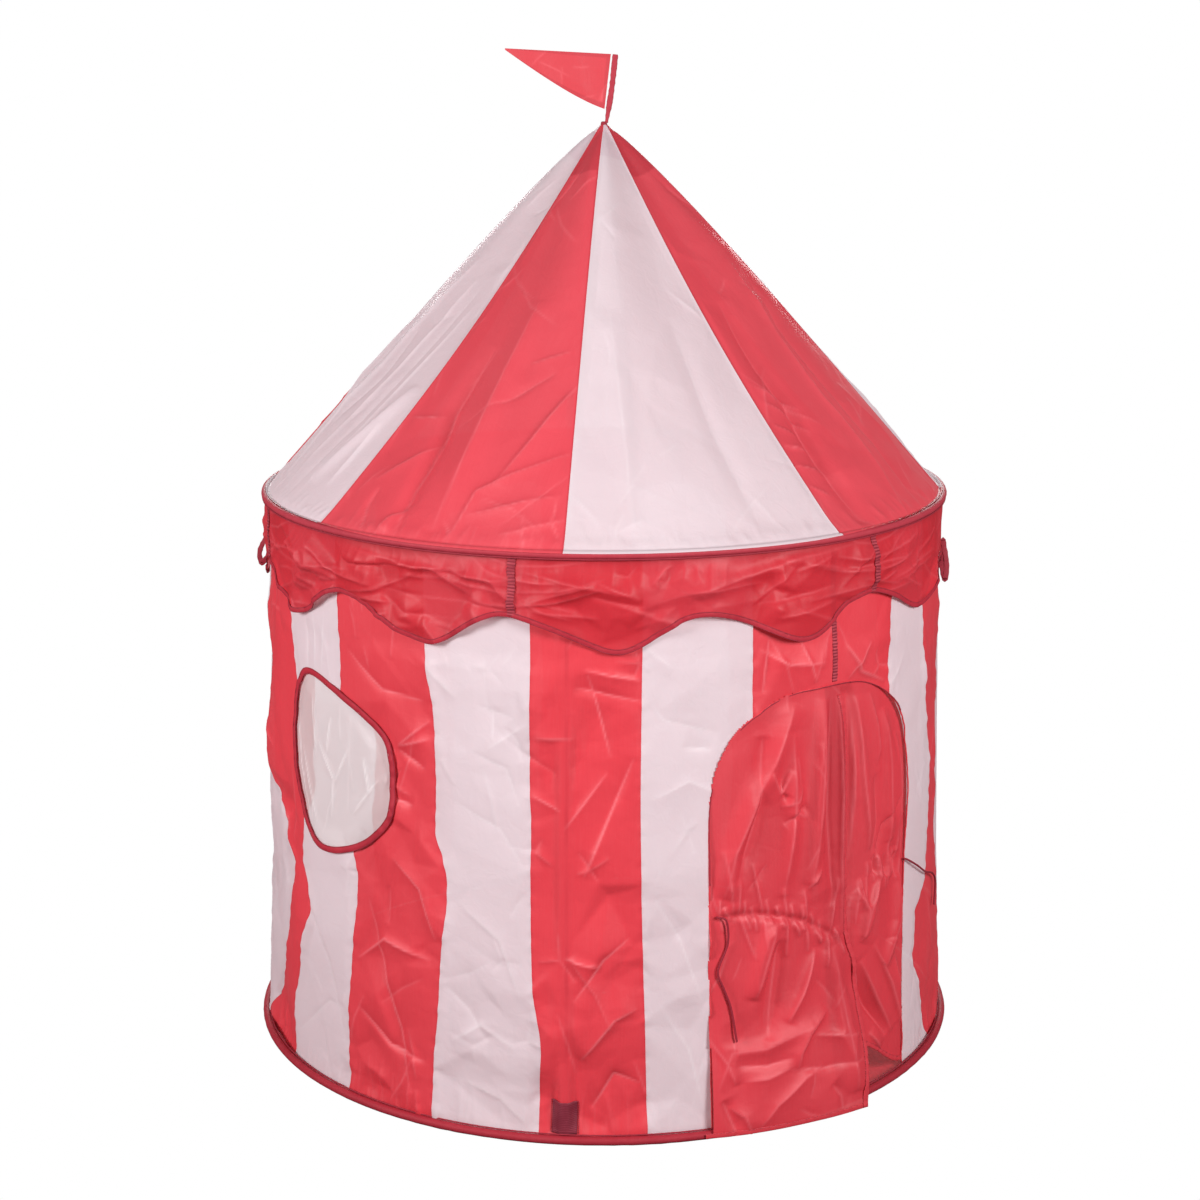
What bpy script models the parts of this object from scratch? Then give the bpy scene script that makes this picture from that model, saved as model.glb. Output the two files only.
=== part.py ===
"""Child's pop-up play tent in the shape of a circus big top.

A striped cloth drum stands between a ground hoop and an eave hoop, under a cone roof of eight
gores. Four rods run up inside the wall and roof to a small hub, which carries a pennant.
Sizes are in metres. The origin is on the floor at the middle of the ground hoop, and the front
of the tent faces -Y. Angles are in degrees round the tent, from the front towards +X.
"""
import math

import bmesh
import bpy
from mathutils import Vector

# Clearances and cloth
GAP = 0.0003
CLOTH = 0.002
FULL_TURN = 360.0

# Ground hoop: a steel band in a cloth sleeve, with a flat side down
GROUND_HOOP_REACH = 0.5337
GROUND_HOOP_HALF = 0.0065
GROUND_SHEET_THICKNESS = 0.002

# Eave hoop: the same band, bound in tape
EAVE_HOOP_REACH = 0.510
EAVE_HOOP_HALF = 0.0055
EAVE_HEIGHT = 0.819
HOOP_SEGMENTS = 96
HOOP_SIDES = 8
HOOP_SAG = math.cos(math.pi / HOOP_SEGMENTS)

# Wall
STRIPE_COLUMNS = 4
FRONT_SEAMS = (-74.0, -61.8, -46.4, -27.2, -11.3, 5.5, 22.6, 37.0, 50.4, 62.0, 80.0)
FRONT_COLOURS = "RWRWRWRRWR"
BACK_STRIPES = 11

# Roof
ROOF_PEAK_HEIGHT = 1.352
ROOF_FOOT_LIFT = 0.0026
HUB_CLEARANCE = 0.0012
GORES = 8
GORE_COLUMNS = 8
GORE_ROWS = 10
POLE_RISE = 0.012
GORE_SAG = 0.018
RIDGE_SHARPNESS = 1.5
RIDGE_CREST = 0.6
ROW_CROWDING = 1.5

# Poles, their hub and their pockets
POLES = 4
POLE_ANGLE = -6.0
POLE_RADIUS = 0.004
POLE_BEND_START = 0.785
POLE_END_REACH = 0.0148
HUB_RADIUS = 0.0112
HUB_BOTTOM = 1.305
HUB_TOP = 1.3505
HUB_TIP_RADIUS = 0.0055
POCKET_WIDTH = 0.036
POCKET_BOTTOM = 0.0145
POCKET_TOP = 0.058
POCKET_CLOTH = 0.0015

# Scalloped valance below the eave
VALANCE_SECTIONS = 6
VALANCE_FIRST_SEAM = -73.8
SCALLOP_ANGLE = 30.0
SCALLOP_LOW_ANGLE = 1.2
SCALLOP_LOW = 0.690
SCALLOP_HIGH = 0.737

# Door: an arch cut through the wall, closed by two curtains
DOOR_ANGLE = 36.6
DOOR_HALF_WIDTH = 0.1845
DOOR_SPRING = 0.430
DOOR_TOP = 0.618
DOOR_SEAM = 0.0006
LEFT_CURTAIN_EDGE = 0.0305
RIGHT_CURTAIN_EDGE = -0.005
CURTAIN_COLUMNS = 14
CURTAIN_ROWS = 12

# Window: an oval hole filled with net
WINDOW_ANGLE = -46.0
WINDOW_HEIGHT = 0.489
WINDOW_HALF_WIDTH = 0.107
WINDOW_HALF_HEIGHT = 0.126
WINDOW_BINDING = 0.008
WINDOW_BINDING_DEPTH = 0.0025

# Pennant and its stick
STICK_RADIUS = 0.0045
STICK_FOOT = (0.0035, 1.3516)
STICK_HEAD = (0.0165, 1.4460)
PENNANT_CLOTH = 0.0015
PENNANT_TIP = (-0.1425, 1.4535)
PENNANT_TIP_DEPTH = 0.002
PENNANT_HOIST_TOP = (0.0100, 1.4475)
PENNANT_HOIST_BOTTOM = (0.0008, 1.3700)
PENNANT_BELLY = (-0.0460, 1.3850)

# Tape loops at the eave and the curtains' ties
LOOP_TAPE = 0.009
LOOP_THICKNESS = 0.002
LOOP_HALF_LENGTH = 0.031
LOOP_HALF_REACH = 0.0105
LOOP_HEIGHT = 0.714
LOOP_LEAN = 0.006
TIE_RADIUS = 0.0015

RED = (0.72, 0.055, 0.075)
WHITE = (0.80, 0.70, 0.76)
DARK_RED = (0.27, 0.02, 0.035)
NET = (0.85, 0.80, 0.84)
ROD = (0.55, 0.55, 0.56)


def polar(radius, angle, height):
    """Point at a radius, an angle in degrees from the front, and a height."""
    turn = math.radians(angle)
    return Vector((radius * math.sin(turn), -radius * math.cos(turn), height))


def mix(first, last, share):
    """Value a share of the way from first to last."""
    return first + (last - first) * share


def smooth(share):
    """Ease from 0 to 1, held at the ends."""
    share = min(1.0, max(0.0, share))
    return share * share * (3.0 - 2.0 * share)


GROUND_HOOP_INSIDE = (GROUND_HOOP_REACH - 2.0 * GROUND_HOOP_HALF) * HOOP_SAG
EAVE_HOOP_INSIDE = (EAVE_HOOP_REACH - 2.0 * EAVE_HOOP_HALF) * HOOP_SAG
EAVE_HOOP_CENTRE = EAVE_HOOP_REACH - EAVE_HOOP_HALF
WALL_FOOT = GROUND_SHEET_THICKNESS + GAP
WALL_HEAD = EAVE_HEIGHT
WALL_FOOT_RADIUS = GROUND_HOOP_INSIDE - GAP - CLOTH / 2.0
WALL_HEAD_RADIUS = EAVE_HOOP_INSIDE - GAP - CLOTH / 2.0

ROOF_FOOT_RADIUS = EAVE_HOOP_INSIDE - GAP / 2.0
ROOF_FOOT_HEIGHT = EAVE_HEIGHT + ROOF_FOOT_LIFT
ROOF_TIP_RADIUS = HUB_RADIUS + HUB_CLEARANCE
ROOF_SLOPE = (ROOF_PEAK_HEIGHT - ROOF_FOOT_HEIGHT) / ROOF_FOOT_RADIUS
ROOF_TIP_HEIGHT = ROOF_PEAK_HEIGHT - ROOF_SLOPE * ROOF_TIP_RADIUS


def wall_radius(height):
    """Radius of the middle of the wall's cloth at a height."""
    share = (height - WALL_FOOT) / (WALL_HEAD - WALL_FOOT)
    return mix(WALL_FOOT_RADIUS, WALL_HEAD_RADIUS, share)


def arc_to_degrees(length, radius):
    """Angle in degrees that a short arc takes up at a radius."""
    return math.degrees(length / radius)


def across_to_angle(centre, across, radius):
    """Angle of a point that lies a given distance across from a centre angle."""
    return centre + math.degrees(math.asin(across / radius))


def make_material(name, colour, roughness, metallic=0.0):
    """Principled material with one colour."""
    material = bpy.data.materials.new(name)
    material.use_nodes = True
    shader = material.node_tree.nodes["Principled BSDF"]
    shader.inputs["Base Color"].default_value = (*colour, 1.0)
    shader.inputs["Roughness"].default_value = roughness
    shader.inputs["Metallic"].default_value = metallic
    return material


def add_object(name, data, material):
    """Link a mesh or curve as a new object with one material."""
    data.materials.append(material)
    thing = bpy.data.objects.new(name, data)
    bpy.context.scene.collection.objects.link(thing)
    return thing


def mesh_object(name, mesh_builder, material):
    """Turn a bmesh into a mesh object with its faces pointing out."""
    bmesh.ops.recalc_face_normals(mesh_builder, faces=mesh_builder.faces)
    mesh = bpy.data.meshes.new(name)
    mesh_builder.to_mesh(mesh)
    mesh_builder.free()
    mesh.shade_smooth()
    mesh.set_sharp_from_angle(angle=math.radians(35.0))
    return add_object(name, mesh, material)


def sheet(name, place, columns, rows, thickness, material):
    """Cloth of one thickness whose middle surface is place(u, v), with u and v from 0 to 1."""
    cloth = bmesh.new()
    grid = []
    for row in range(rows + 1):
        line = [cloth.verts.new(place(column / columns, row / rows)) for column in range(columns + 1)]
        grid.append(line)
    for row in range(rows):
        for column in range(columns):
            lower, upper = grid[row], grid[row + 1]
            cloth.faces.new((lower[column], lower[column + 1], upper[column + 1], upper[column]))
    thing = mesh_object(name, cloth, material)
    solidify = thing.modifiers.new("cloth thickness", "SOLIDIFY")
    solidify.thickness = thickness
    solidify.offset = 0.0
    return thing


def swept_ring(name, sections, material):
    """Closed ring through a list of cross-sections, each a list of points in order."""
    ring = bmesh.new()
    rows = [[ring.verts.new(point) for point in section] for section in sections]
    sides = len(sections[0])
    for index, row in enumerate(rows):
        following = rows[(index + 1) % len(rows)]
        for side in range(sides):
            after = (side + 1) % sides
            ring.faces.new((row[side], row[after], following[after], following[side]))
    return mesh_object(name, ring, material)


def hoop(name, centre_radius, half_size, height, material):
    """Hoop of eight-sided section with one side flat down and one flat against the wall."""
    corner = half_size / math.cos(math.pi / HOOP_SIDES)
    sections = []
    for step in range(HOOP_SEGMENTS):
        angle = FULL_TURN * step / HOOP_SEGMENTS
        section = []
        for side in range(HOOP_SIDES):
            turn = 2.0 * math.pi * (side + 0.5) / HOOP_SIDES
            radius = centre_radius + corner * math.cos(turn)
            section.append(polar(radius, angle, height + corner * math.sin(turn)))
        sections.append(section)
    return swept_ring(name, sections, material)


def ground_sheet(material):
    """Round floor of cloth inside the ground hoop."""
    reach = GROUND_HOOP_INSIDE - GAP
    floor = bmesh.new()
    bmesh.ops.create_circle(floor, cap_ends=True, segments=HOOP_SEGMENTS, radius=reach)
    raised = bmesh.ops.extrude_face_region(floor, geom=floor.faces[:])
    lifted = [item for item in raised["geom"] if isinstance(item, bmesh.types.BMVert)]
    bmesh.ops.translate(floor, verts=lifted, vec=(0.0, 0.0, GROUND_SHEET_THICKNESS))
    return mesh_object("ground_sheet", floor, material)


def radial_prism(name, centre, outline):
    """Hidden cutter: an outline of (across, height) points pushed through the wall at an angle."""
    inner = 0.40
    outer = 0.65
    turn = math.radians(centre)
    outward = Vector((math.sin(turn), -math.cos(turn), 0.0))
    sideways = Vector((math.cos(turn), math.sin(turn), 0.0))
    block = bmesh.new()
    near = []
    for across, height in outline:
        near.append(block.verts.new(outward * inner + sideways * across + Vector((0.0, 0.0, height))))
    face = block.faces.new(near)
    pushed = bmesh.ops.extrude_face_region(block, geom=[face])
    moved = [item for item in pushed["geom"] if isinstance(item, bmesh.types.BMVert)]
    bmesh.ops.translate(block, verts=moved, vec=outward * (outer - inner))
    cutter = mesh_object(name, block, bpy.data.materials["dark red tape"])
    cutter.hide_render = True
    cutter.display_type = "WIRE"
    return cutter


def cut(thing, cutter, operation):
    """Boolean between a piece and a hidden cutter."""
    modifier = thing.modifiers.new(operation.lower(), "BOOLEAN")
    modifier.operation = operation
    modifier.object = cutter
    modifier.solver = "EXACT"


def door_outline(inset):
    """Arch of the door as (across, height) points, from the left foot over the top."""
    below_floor = -0.05
    steps = 40
    half_width = DOOR_HALF_WIDTH - inset
    rise = DOOR_TOP - DOOR_SPRING - inset
    outline = [(-half_width, below_floor)]
    for step in range(steps + 1):
        turn = math.pi * step / steps
        outline.append((-half_width * math.cos(turn), DOOR_SPRING + rise * math.sin(turn)))
    outline.append((half_width, below_floor))
    return outline


def window_outline(grow):
    """Oval of the window as (across, height) points."""
    steps = 40
    outline = []
    for step in range(steps):
        turn = 2.0 * math.pi * step / steps
        across = (WINDOW_HALF_WIDTH + grow) * math.cos(turn)
        up = WINDOW_HEIGHT + (WINDOW_HALF_HEIGHT + grow) * math.sin(turn)
        outline.append((across, up))
    return outline


def wall_stripes(red, white, door_cutter, window_cutter):
    """Upright stripes of the wall, cut through at the door and the window."""
    seams = list(FRONT_SEAMS)
    colours = list(FRONT_COLOURS)
    margin = 1.0
    back = seams[0] + FULL_TURN - seams[-1]
    last_front = seams[-1]
    for step in range(BACK_STRIPES):
        seams.append(last_front + back * (step + 1) / BACK_STRIPES)
        colours.append("W" if step % 2 == 0 else "R")
    door_half = arc_to_degrees(DOOR_HALF_WIDTH, WALL_HEAD_RADIUS) + margin
    window_half = arc_to_degrees(WINDOW_HALF_WIDTH, WALL_HEAD_RADIUS) + margin
    for index, colour in enumerate(colours):
        start = seams[index]
        end = seams[index + 1]

        def place(u, v, start=start, end=end):
            height = mix(WALL_FOOT, WALL_HEAD, v)
            radius = wall_radius(height)
            half_gap = arc_to_degrees(GAP / 2.0, radius)
            return polar(radius, mix(start + half_gap, end - half_gap, u), height)

        cloth = red if colour == "R" else white
        stripe = sheet(f"wall_stripe_{index + 1:02d}", place, STRIPE_COLUMNS, 1, CLOTH, cloth)
        if end > DOOR_ANGLE - door_half and start < DOOR_ANGLE + door_half:
            cut(stripe, door_cutter, "DIFFERENCE")
        if end > WINDOW_ANGLE - window_half and start < WINDOW_ANGLE + window_half:
            cut(stripe, window_cutter, "DIFFERENCE")


def roof_point(angle, rise, inward=0.0):
    """Point of the roof's cloth: rise is 0 at the eave and 1 at the hub, inward is a depth below it."""
    down = 1.0 - rise
    radius = mix(ROOF_FOOT_RADIUS, ROOF_TIP_RADIUS, rise)
    height = mix(ROOF_FOOT_HEIGHT, ROOF_TIP_HEIGHT, rise)
    nearness = 0.5 + 0.5 * math.cos(math.radians(POLES * (angle - POLE_ANGLE)))
    ridge = nearness ** RIDGE_SHARPNESS
    lift = ridge * POLE_RISE * math.sin(math.pi * down ** RIDGE_CREST)
    lift -= (1.0 - ridge) * GORE_SAG * math.sin(math.pi * down)
    lift -= inward
    length = math.hypot(1.0, ROOF_SLOPE)
    return polar(radius + lift * ROOF_SLOPE / length, angle, height + lift / length)


def row_rise(share):
    """Rise of a row of the roof's mesh, with the rows closer together towards the hub."""
    return 1.0 - (1.0 - share) ** ROW_CROWDING


def roof_gores(red, white):
    """Eight gores that meet on the seams over and between the poles."""
    width = FULL_TURN / GORES
    for index in range(GORES):
        start = POLE_ANGLE + index * width

        def place(u, v, start=start):
            rise = row_rise(v)
            radius = mix(ROOF_FOOT_RADIUS, ROOF_TIP_RADIUS, rise)
            half_gap = arc_to_degrees(GAP / 2.0, radius)
            return roof_point(mix(start + half_gap, start + width - half_gap, u), rise)

        cloth = white if index % 2 == 0 else red
        sheet(f"roof_gore_{index + 1}", place, GORE_COLUMNS, GORE_ROWS, CLOTH, cloth)


def valance(red):
    """Six sections of scalloped skirt that hang from the eave hoop, just off the wall."""
    width = FULL_TURN / VALANCE_SECTIONS
    top = EAVE_HEIGHT - EAVE_HOOP_HALF - GAP
    middle = (SCALLOP_LOW + SCALLOP_HIGH) / 2.0
    swing = (SCALLOP_HIGH - SCALLOP_LOW) / 2.0
    columns = 18
    for index in range(VALANCE_SECTIONS):
        start = VALANCE_FIRST_SEAM + index * width

        def place(u, v, start=start):
            half_gap = arc_to_degrees(GAP / 2.0, EAVE_HOOP_CENTRE)
            angle = mix(start + half_gap, start + width - half_gap, u)
            wave = math.cos(2.0 * math.pi * (angle - SCALLOP_LOW_ANGLE) / SCALLOP_ANGLE)
            return polar(EAVE_HOOP_CENTRE, angle, mix(middle - swing * wave, top, v))

        sheet(f"valance_{index + 1}", place, columns, 1, CLOTH, red)


def tube(name, points, radius, material):
    """Round bar along a list of points, with closed ends."""
    curve = bpy.data.curves.new(name, "CURVE")
    curve.dimensions = "3D"
    curve.bevel_depth = radius
    curve.bevel_resolution = 2
    curve.use_fill_caps = True
    line = curve.splines.new("POLY")
    line.points.add(len(points) - 1)
    for place, point in zip(line.points, points):
        place.co = (*point, 1.0)
    return add_object(name, curve, material)


def curve_through(points, count):
    """Points along a smooth curve through a few points of a route, evenly counted per stretch."""
    padded = [points[0] * 2 - points[1]] + list(points) + [points[-1] * 2 - points[-2]]
    stretches = len(points) - 1
    result = []
    for step in range(count + 1):
        travel = stretches * step / count
        index = min(int(travel), stretches - 1)
        t = travel - index
        before, here, there, after = padded[index:index + 4]
        point = here * 2 + (there - before) * t
        point += (before * 2 - here * 5 + there * 4 - after) * t ** 2
        point += (here * 3 - before - there * 3 + after) * t ** 3
        result.append(point / 2)
    return result


def pole_route(angle):
    """Middle line of a rod: up inside the wall, round the eave and up under the roof."""
    facet_sag = 0.0006
    foot_gap = 0.0004
    corner_drop = 0.0005
    stand_off = CLOTH / 2.0 + GAP + POLE_RADIUS + facet_sag
    foot = WALL_FOOT + foot_gap
    wall_steps = 3
    bend_steps = 8
    route = []
    for step in range(wall_steps):
        height = mix(foot, POLE_BEND_START, step / wall_steps)
        route.append(polar(wall_radius(height) - stand_off, angle, height))
    bend_in = polar(wall_radius(POLE_BEND_START) - stand_off, angle, POLE_BEND_START)
    roof = []
    for row in range(1, GORE_ROWS + 1):
        roof.append(roof_point(angle, row_rise(row / GORE_ROWS), stand_off))
    corner_height = ROOF_FOOT_HEIGHT - corner_drop
    corner = polar(wall_radius(corner_height) - stand_off, angle, corner_height)
    for step in range(bend_steps):
        share = step / bend_steps
        first = bend_in.lerp(corner, share)
        second = corner.lerp(roof[0], share)
        route.append(first.lerp(second, share))
    route += roof[:-1]
    outer = math.hypot(roof[-2].x, roof[-2].y)
    inner = math.hypot(roof[-1].x, roof[-1].y)
    route.append(roof[-2].lerp(roof[-1], (outer - POLE_END_REACH) / (outer - inner)))
    return route


def poles_and_pockets(rod, tape):
    """Four rods with, outside the wall at the foot of each, its stitched pocket."""
    for index, side in enumerate(("front", "right", "back", "left")):
        angle = POLE_ANGLE + index * FULL_TURN / POLES
        tube(f"pole_{side}", pole_route(angle), POLE_RADIUS, rod)

        def place(u, v, angle=angle):
            height = mix(POCKET_BOTTOM, POCKET_TOP, v)
            radius = wall_radius(height) + CLOTH / 2.0 + GAP + POCKET_CLOTH / 2.0
            half = arc_to_degrees(POCKET_WIDTH / 2.0, radius)
            return polar(radius, mix(angle - half, angle + half, u), height)

        sheet(f"pole_pocket_{side}", place, 4, 1, POCKET_CLOTH, tape)


def apex_hub(tape):
    """Turned hub that closes the top of the roof and takes the rods' ends."""
    steps = 24
    shoulder_lift = 0.001
    shoulder = ROOF_TIP_HEIGHT + shoulder_lift
    profile = ((HUB_RADIUS, HUB_BOTTOM), (HUB_RADIUS, shoulder), (HUB_TIP_RADIUS, HUB_TOP))
    turned = bmesh.new()
    rings = []
    for radius, height in profile:
        points = [polar(radius, FULL_TURN * step / steps, height) for step in range(steps)]
        rings.append([turned.verts.new(point) for point in points])
    for lower, upper in zip(rings, rings[1:]):
        for step in range(steps):
            after = (step + 1) % steps
            turned.faces.new((lower[step], lower[after], upper[after], upper[step]))
    turned.faces.new(rings[0])
    turned.faces.new(rings[-1])
    return mesh_object("apex_hub", turned, tape)


def stick_centre(height):
    """Distance in X of the flag stick's middle line at a height."""
    share = (height - STICK_FOOT[1]) / (STICK_HEAD[1] - STICK_FOOT[1])
    return mix(STICK_FOOT[0], STICK_HEAD[0], share)


def flag(red, tape):
    """Pennant and the bound stick that it flies from."""
    steps = 8
    wave_depth = 0.003
    wave_halves = 2.5
    points = []
    for step in range(steps + 1):
        height = mix(STICK_FOOT[1], STICK_HEAD[1], step / steps)
        points.append(Vector((stick_centre(height), 0.0, height)))
    tube("flag_stick", points, STICK_RADIUS, tape)

    tip = Vector((PENNANT_TIP[0], 0.0, PENNANT_TIP[1]))
    belly = Vector((PENNANT_BELLY[0], 0.0, PENNANT_BELLY[1]))
    hoist_bottom = Vector((PENNANT_HOIST_BOTTOM[0], 0.0, PENNANT_HOIST_BOTTOM[1]))
    hoist_top = Vector((PENNANT_HOIST_TOP[0], 0.0, PENNANT_HOIST_TOP[1]))
    tip_top = tip + Vector((0.0, 0.0, PENNANT_TIP_DEPTH))

    def place(u, v):
        low = tip.lerp(belly, u).lerp(belly.lerp(hoist_bottom, u), u)
        point = low.lerp(tip_top.lerp(hoist_top, u), v)
        point.y = wave_depth * math.sin(wave_halves * math.pi * u) * (1.0 - u * u)
        return point

    sheet("pennant", place, 12, 4, PENNANT_CLOTH, red)


def left_curtain(red):
    """Front curtain: flush in the arch, kicking out over the ground hoop at its hem."""
    half_width = DOOR_HALF_WIDTH - DOOR_SEAM
    rise = DOOR_TOP - DOOR_SPRING - DOOR_SEAM
    sweep = math.acos(-LEFT_CURTAIN_EDGE / half_width)
    hem = 0.004
    flare_top = 0.20
    drift_top = 0.28
    drift = 0.020
    hem_radius_at_jamb = 0.5362
    hem_radius_at_edge = 0.5585

    def place(u, v):
        turn = u * sweep
        across = -half_width * math.cos(turn)
        share = (across + half_width) / (LEFT_CURTAIN_EDGE + half_width)
        height = mix(hem, DOOR_SPRING + rise * math.sin(turn), v)
        across += drift * share * smooth((drift_top - height) / drift_top)
        kick = smooth((flare_top - height) / flare_top)
        hem_radius = mix(hem_radius_at_jamb, hem_radius_at_edge, share ** 1.5)
        radius = mix(wall_radius(height), hem_radius, kick)
        return polar(radius, across_to_angle(DOOR_ANGLE, across, radius), height)

    return sheet("door_curtain_left", place, CURTAIN_COLUMNS, CURTAIN_ROWS, CLOTH, red)


def right_curtain(red):
    """Curtain behind the front one, with its hem lifted off the floor towards the middle."""
    half_width = DOOR_HALF_WIDTH - DOOR_SEAM
    rise = DOOR_TOP - DOOR_SPRING - DOOR_SEAM
    sweep = math.acos(RIGHT_CURTAIN_EDGE / half_width)
    hem_at_jamb = 0.016
    hem_lift = 0.070
    lifted_across = 0.060

    def place(u, v):
        turn = u * sweep
        across = half_width * math.cos(turn)
        lift = smooth((half_width - across) / (half_width - lifted_across))
        height = mix(hem_at_jamb + hem_lift * lift, DOOR_SPRING + rise * math.sin(turn), v)
        radius = wall_radius(height) - CLOTH - GAP
        return polar(radius, across_to_angle(DOOR_ANGLE, across, radius), height)

    return sheet("door_curtain_right", place, CURTAIN_COLUMNS, CURTAIN_ROWS, CLOTH, red)


def window(net, tape):
    """Net that fills the oval hole, and the binding round it on the outside of the wall."""
    net_cutter = radial_prism("cutter_net", WINDOW_ANGLE, window_outline(-DOOR_SEAM))
    margin = 0.01
    half = math.degrees(math.asin((WINDOW_HALF_WIDTH + margin) / WALL_HEAD_RADIUS))
    low = WINDOW_HEIGHT - WINDOW_HALF_HEIGHT - margin
    high = WINDOW_HEIGHT + WINDOW_HALF_HEIGHT + margin

    def place(u, v):
        height = mix(low, high, v)
        return polar(wall_radius(height), mix(WINDOW_ANGLE - half, WINDOW_ANGLE + half, u), height)

    mesh_panel = sheet("window_net", place, 8, 1, CLOTH, net)
    cut(mesh_panel, net_cutter, "INTERSECT")

    near = CLOTH / 2.0 + GAP
    far = near + WINDOW_BINDING_DEPTH
    overlap = 0.0015
    inner = window_outline(-overlap)
    outer = window_outline(WINDOW_BINDING - overlap)
    sections = []
    for inside, outside in zip(inner, outer):
        section = []
        for (across, height), offset in ((inside, near), (outside, near), (outside, far), (inside, far)):
            radius = wall_radius(height) + offset
            section.append(polar(radius, across_to_angle(WINDOW_ANGLE, across, radius), height))
        sections.append(section)
    swept_ring("window_binding", sections, tape)


def eave_loop(name, angle, tape):
    """Closed loop of tape that hangs from the valance, leaning out."""
    steps = 20
    skin = EAVE_HOOP_CENTRE + CLOTH / 2.0 + GAP
    centre = skin + math.hypot(LOOP_HALF_REACH, LOOP_LEAN / 2.0) - LOOP_LEAN / 2.0
    half_tape = arc_to_degrees(LOOP_TAPE / 2.0, centre)
    sections = []
    for step in range(steps):
        turn = 2.0 * math.pi * step / steps
        section = []
        for shrink, side in ((0.0, -1.0), (0.0, 1.0), (LOOP_THICKNESS, 1.0), (LOOP_THICKNESS, -1.0)):
            up = (LOOP_HALF_LENGTH - shrink) * math.sin(turn)
            lean = LOOP_LEAN * (1.0 - math.sin(turn)) / 2.0
            out = (LOOP_HALF_REACH - shrink) * math.cos(turn) + lean
            section.append(polar(centre + out, angle + side * half_tape, LOOP_HEIGHT + up))
        sections.append(section)
    return swept_ring(name, sections, tape)


def ties(tape):
    """Loose ends of the curtains' draw tapes, each along its own route."""
    left_route = [
        polar(0.5122, 17.3, 0.316),
        polar(0.5165, 17.4, 0.317),
        polar(0.5185, 18.6, 0.311),
        polar(0.5170, 18.9, 0.278),
        polar(0.5170, 17.4, 0.240),
        polar(0.5185, 18.3, 0.214),
        polar(0.5205, 19.4, 0.185),
        polar(0.5255, 20.2, 0.137),
    ]
    right_route = [
        polar(0.5097, 57.2, 0.323),
        polar(0.5150, 57.5, 0.323),
        polar(0.5175, 61.0, 0.305),
        polar(0.5165, 66.0, 0.280),
        polar(0.5165, 71.0, 0.262),
        polar(0.5170, 74.0, 0.240),
        polar(0.5175, 73.0, 0.206),
    ]
    tube("curtain_tie_left", curve_through(left_route, 35), TIE_RADIUS, tape)
    tube("curtain_tie_right", curve_through(right_route, 35), TIE_RADIUS, tape)


def clear_scene():
    """Remove whatever objects the file starts with."""
    for thing in list(bpy.data.objects):
        bpy.data.objects.remove(thing, do_unlink=True)


def main():
    """Build the tent from the ground up."""
    clear_scene()
    red = make_material("red taffeta", RED, 0.45)
    white = make_material("white taffeta", WHITE, 0.45)
    tape = make_material("dark red tape", DARK_RED, 0.6)
    net = make_material("white net", NET, 0.7)
    rod = make_material("glass fibre rod", ROD, 0.4)

    ground_centre = GROUND_HOOP_REACH - GROUND_HOOP_HALF
    hoop("ground_hoop", ground_centre, GROUND_HOOP_HALF, GROUND_HOOP_HALF, red)
    hoop("eave_hoop", EAVE_HOOP_CENTRE, EAVE_HOOP_HALF, EAVE_HEIGHT, tape)
    ground_sheet(red)
    door_cutter = radial_prism("cutter_door", DOOR_ANGLE, door_outline(0.0))
    window_cutter = radial_prism("cutter_window", WINDOW_ANGLE, window_outline(0.0))
    wall_stripes(red, white, door_cutter, window_cutter)
    roof_gores(red, white)
    valance(red)
    poles_and_pockets(rod, tape)
    apex_hub(tape)
    flag(red, tape)
    left_curtain(red)
    right_curtain(red)
    window(net, tape)
    eave_loop("eave_loop_left", POLE_ANGLE - FULL_TURN / POLES, tape)
    eave_loop("eave_loop_right", POLE_ANGLE + FULL_TURN / POLES, tape)
    ties(tape)


main()
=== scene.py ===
"""Looks of a child's pop-up circus tent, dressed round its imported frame.

Lengths are in metres. Angles are in degrees round the tent, from the front (-Y) towards +X.
Cloth is painted with folds on flat maps and then wrapped onto the frame's own surfaces.
"""
import logging
import math
from dataclasses import dataclass, field
from enum import Enum
from typing import Sequence

import bpy
import numpy as np
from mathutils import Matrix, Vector
from mathutils.geometry import delaunay_2d_cdt


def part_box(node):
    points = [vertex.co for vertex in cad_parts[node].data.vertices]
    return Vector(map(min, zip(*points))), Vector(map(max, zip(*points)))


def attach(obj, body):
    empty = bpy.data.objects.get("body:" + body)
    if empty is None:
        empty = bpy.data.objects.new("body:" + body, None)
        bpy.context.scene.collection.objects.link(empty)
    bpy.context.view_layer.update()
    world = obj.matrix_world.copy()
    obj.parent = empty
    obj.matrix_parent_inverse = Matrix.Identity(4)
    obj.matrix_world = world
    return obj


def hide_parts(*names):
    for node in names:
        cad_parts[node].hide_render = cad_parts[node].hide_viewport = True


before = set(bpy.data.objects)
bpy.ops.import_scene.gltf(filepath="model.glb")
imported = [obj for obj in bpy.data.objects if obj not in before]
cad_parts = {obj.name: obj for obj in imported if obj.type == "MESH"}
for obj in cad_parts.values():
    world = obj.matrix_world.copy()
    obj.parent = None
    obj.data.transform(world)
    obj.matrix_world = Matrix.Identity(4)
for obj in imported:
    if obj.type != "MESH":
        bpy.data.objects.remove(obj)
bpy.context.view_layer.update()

LOG = logging.getLogger("tent")
BODY = "root"
FULL_TURN = 360.0
MM = 0.001
MM_PER_METRE = 1000.0
# Size of the cloth's faces where the photograph shows it, and elsewhere
FRONT_CELL = 0.0027
BACK_CELL = 0.006
CLOTH_MAP = "flat"

Points = np.ndarray
Random = np.random.Generator


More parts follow.
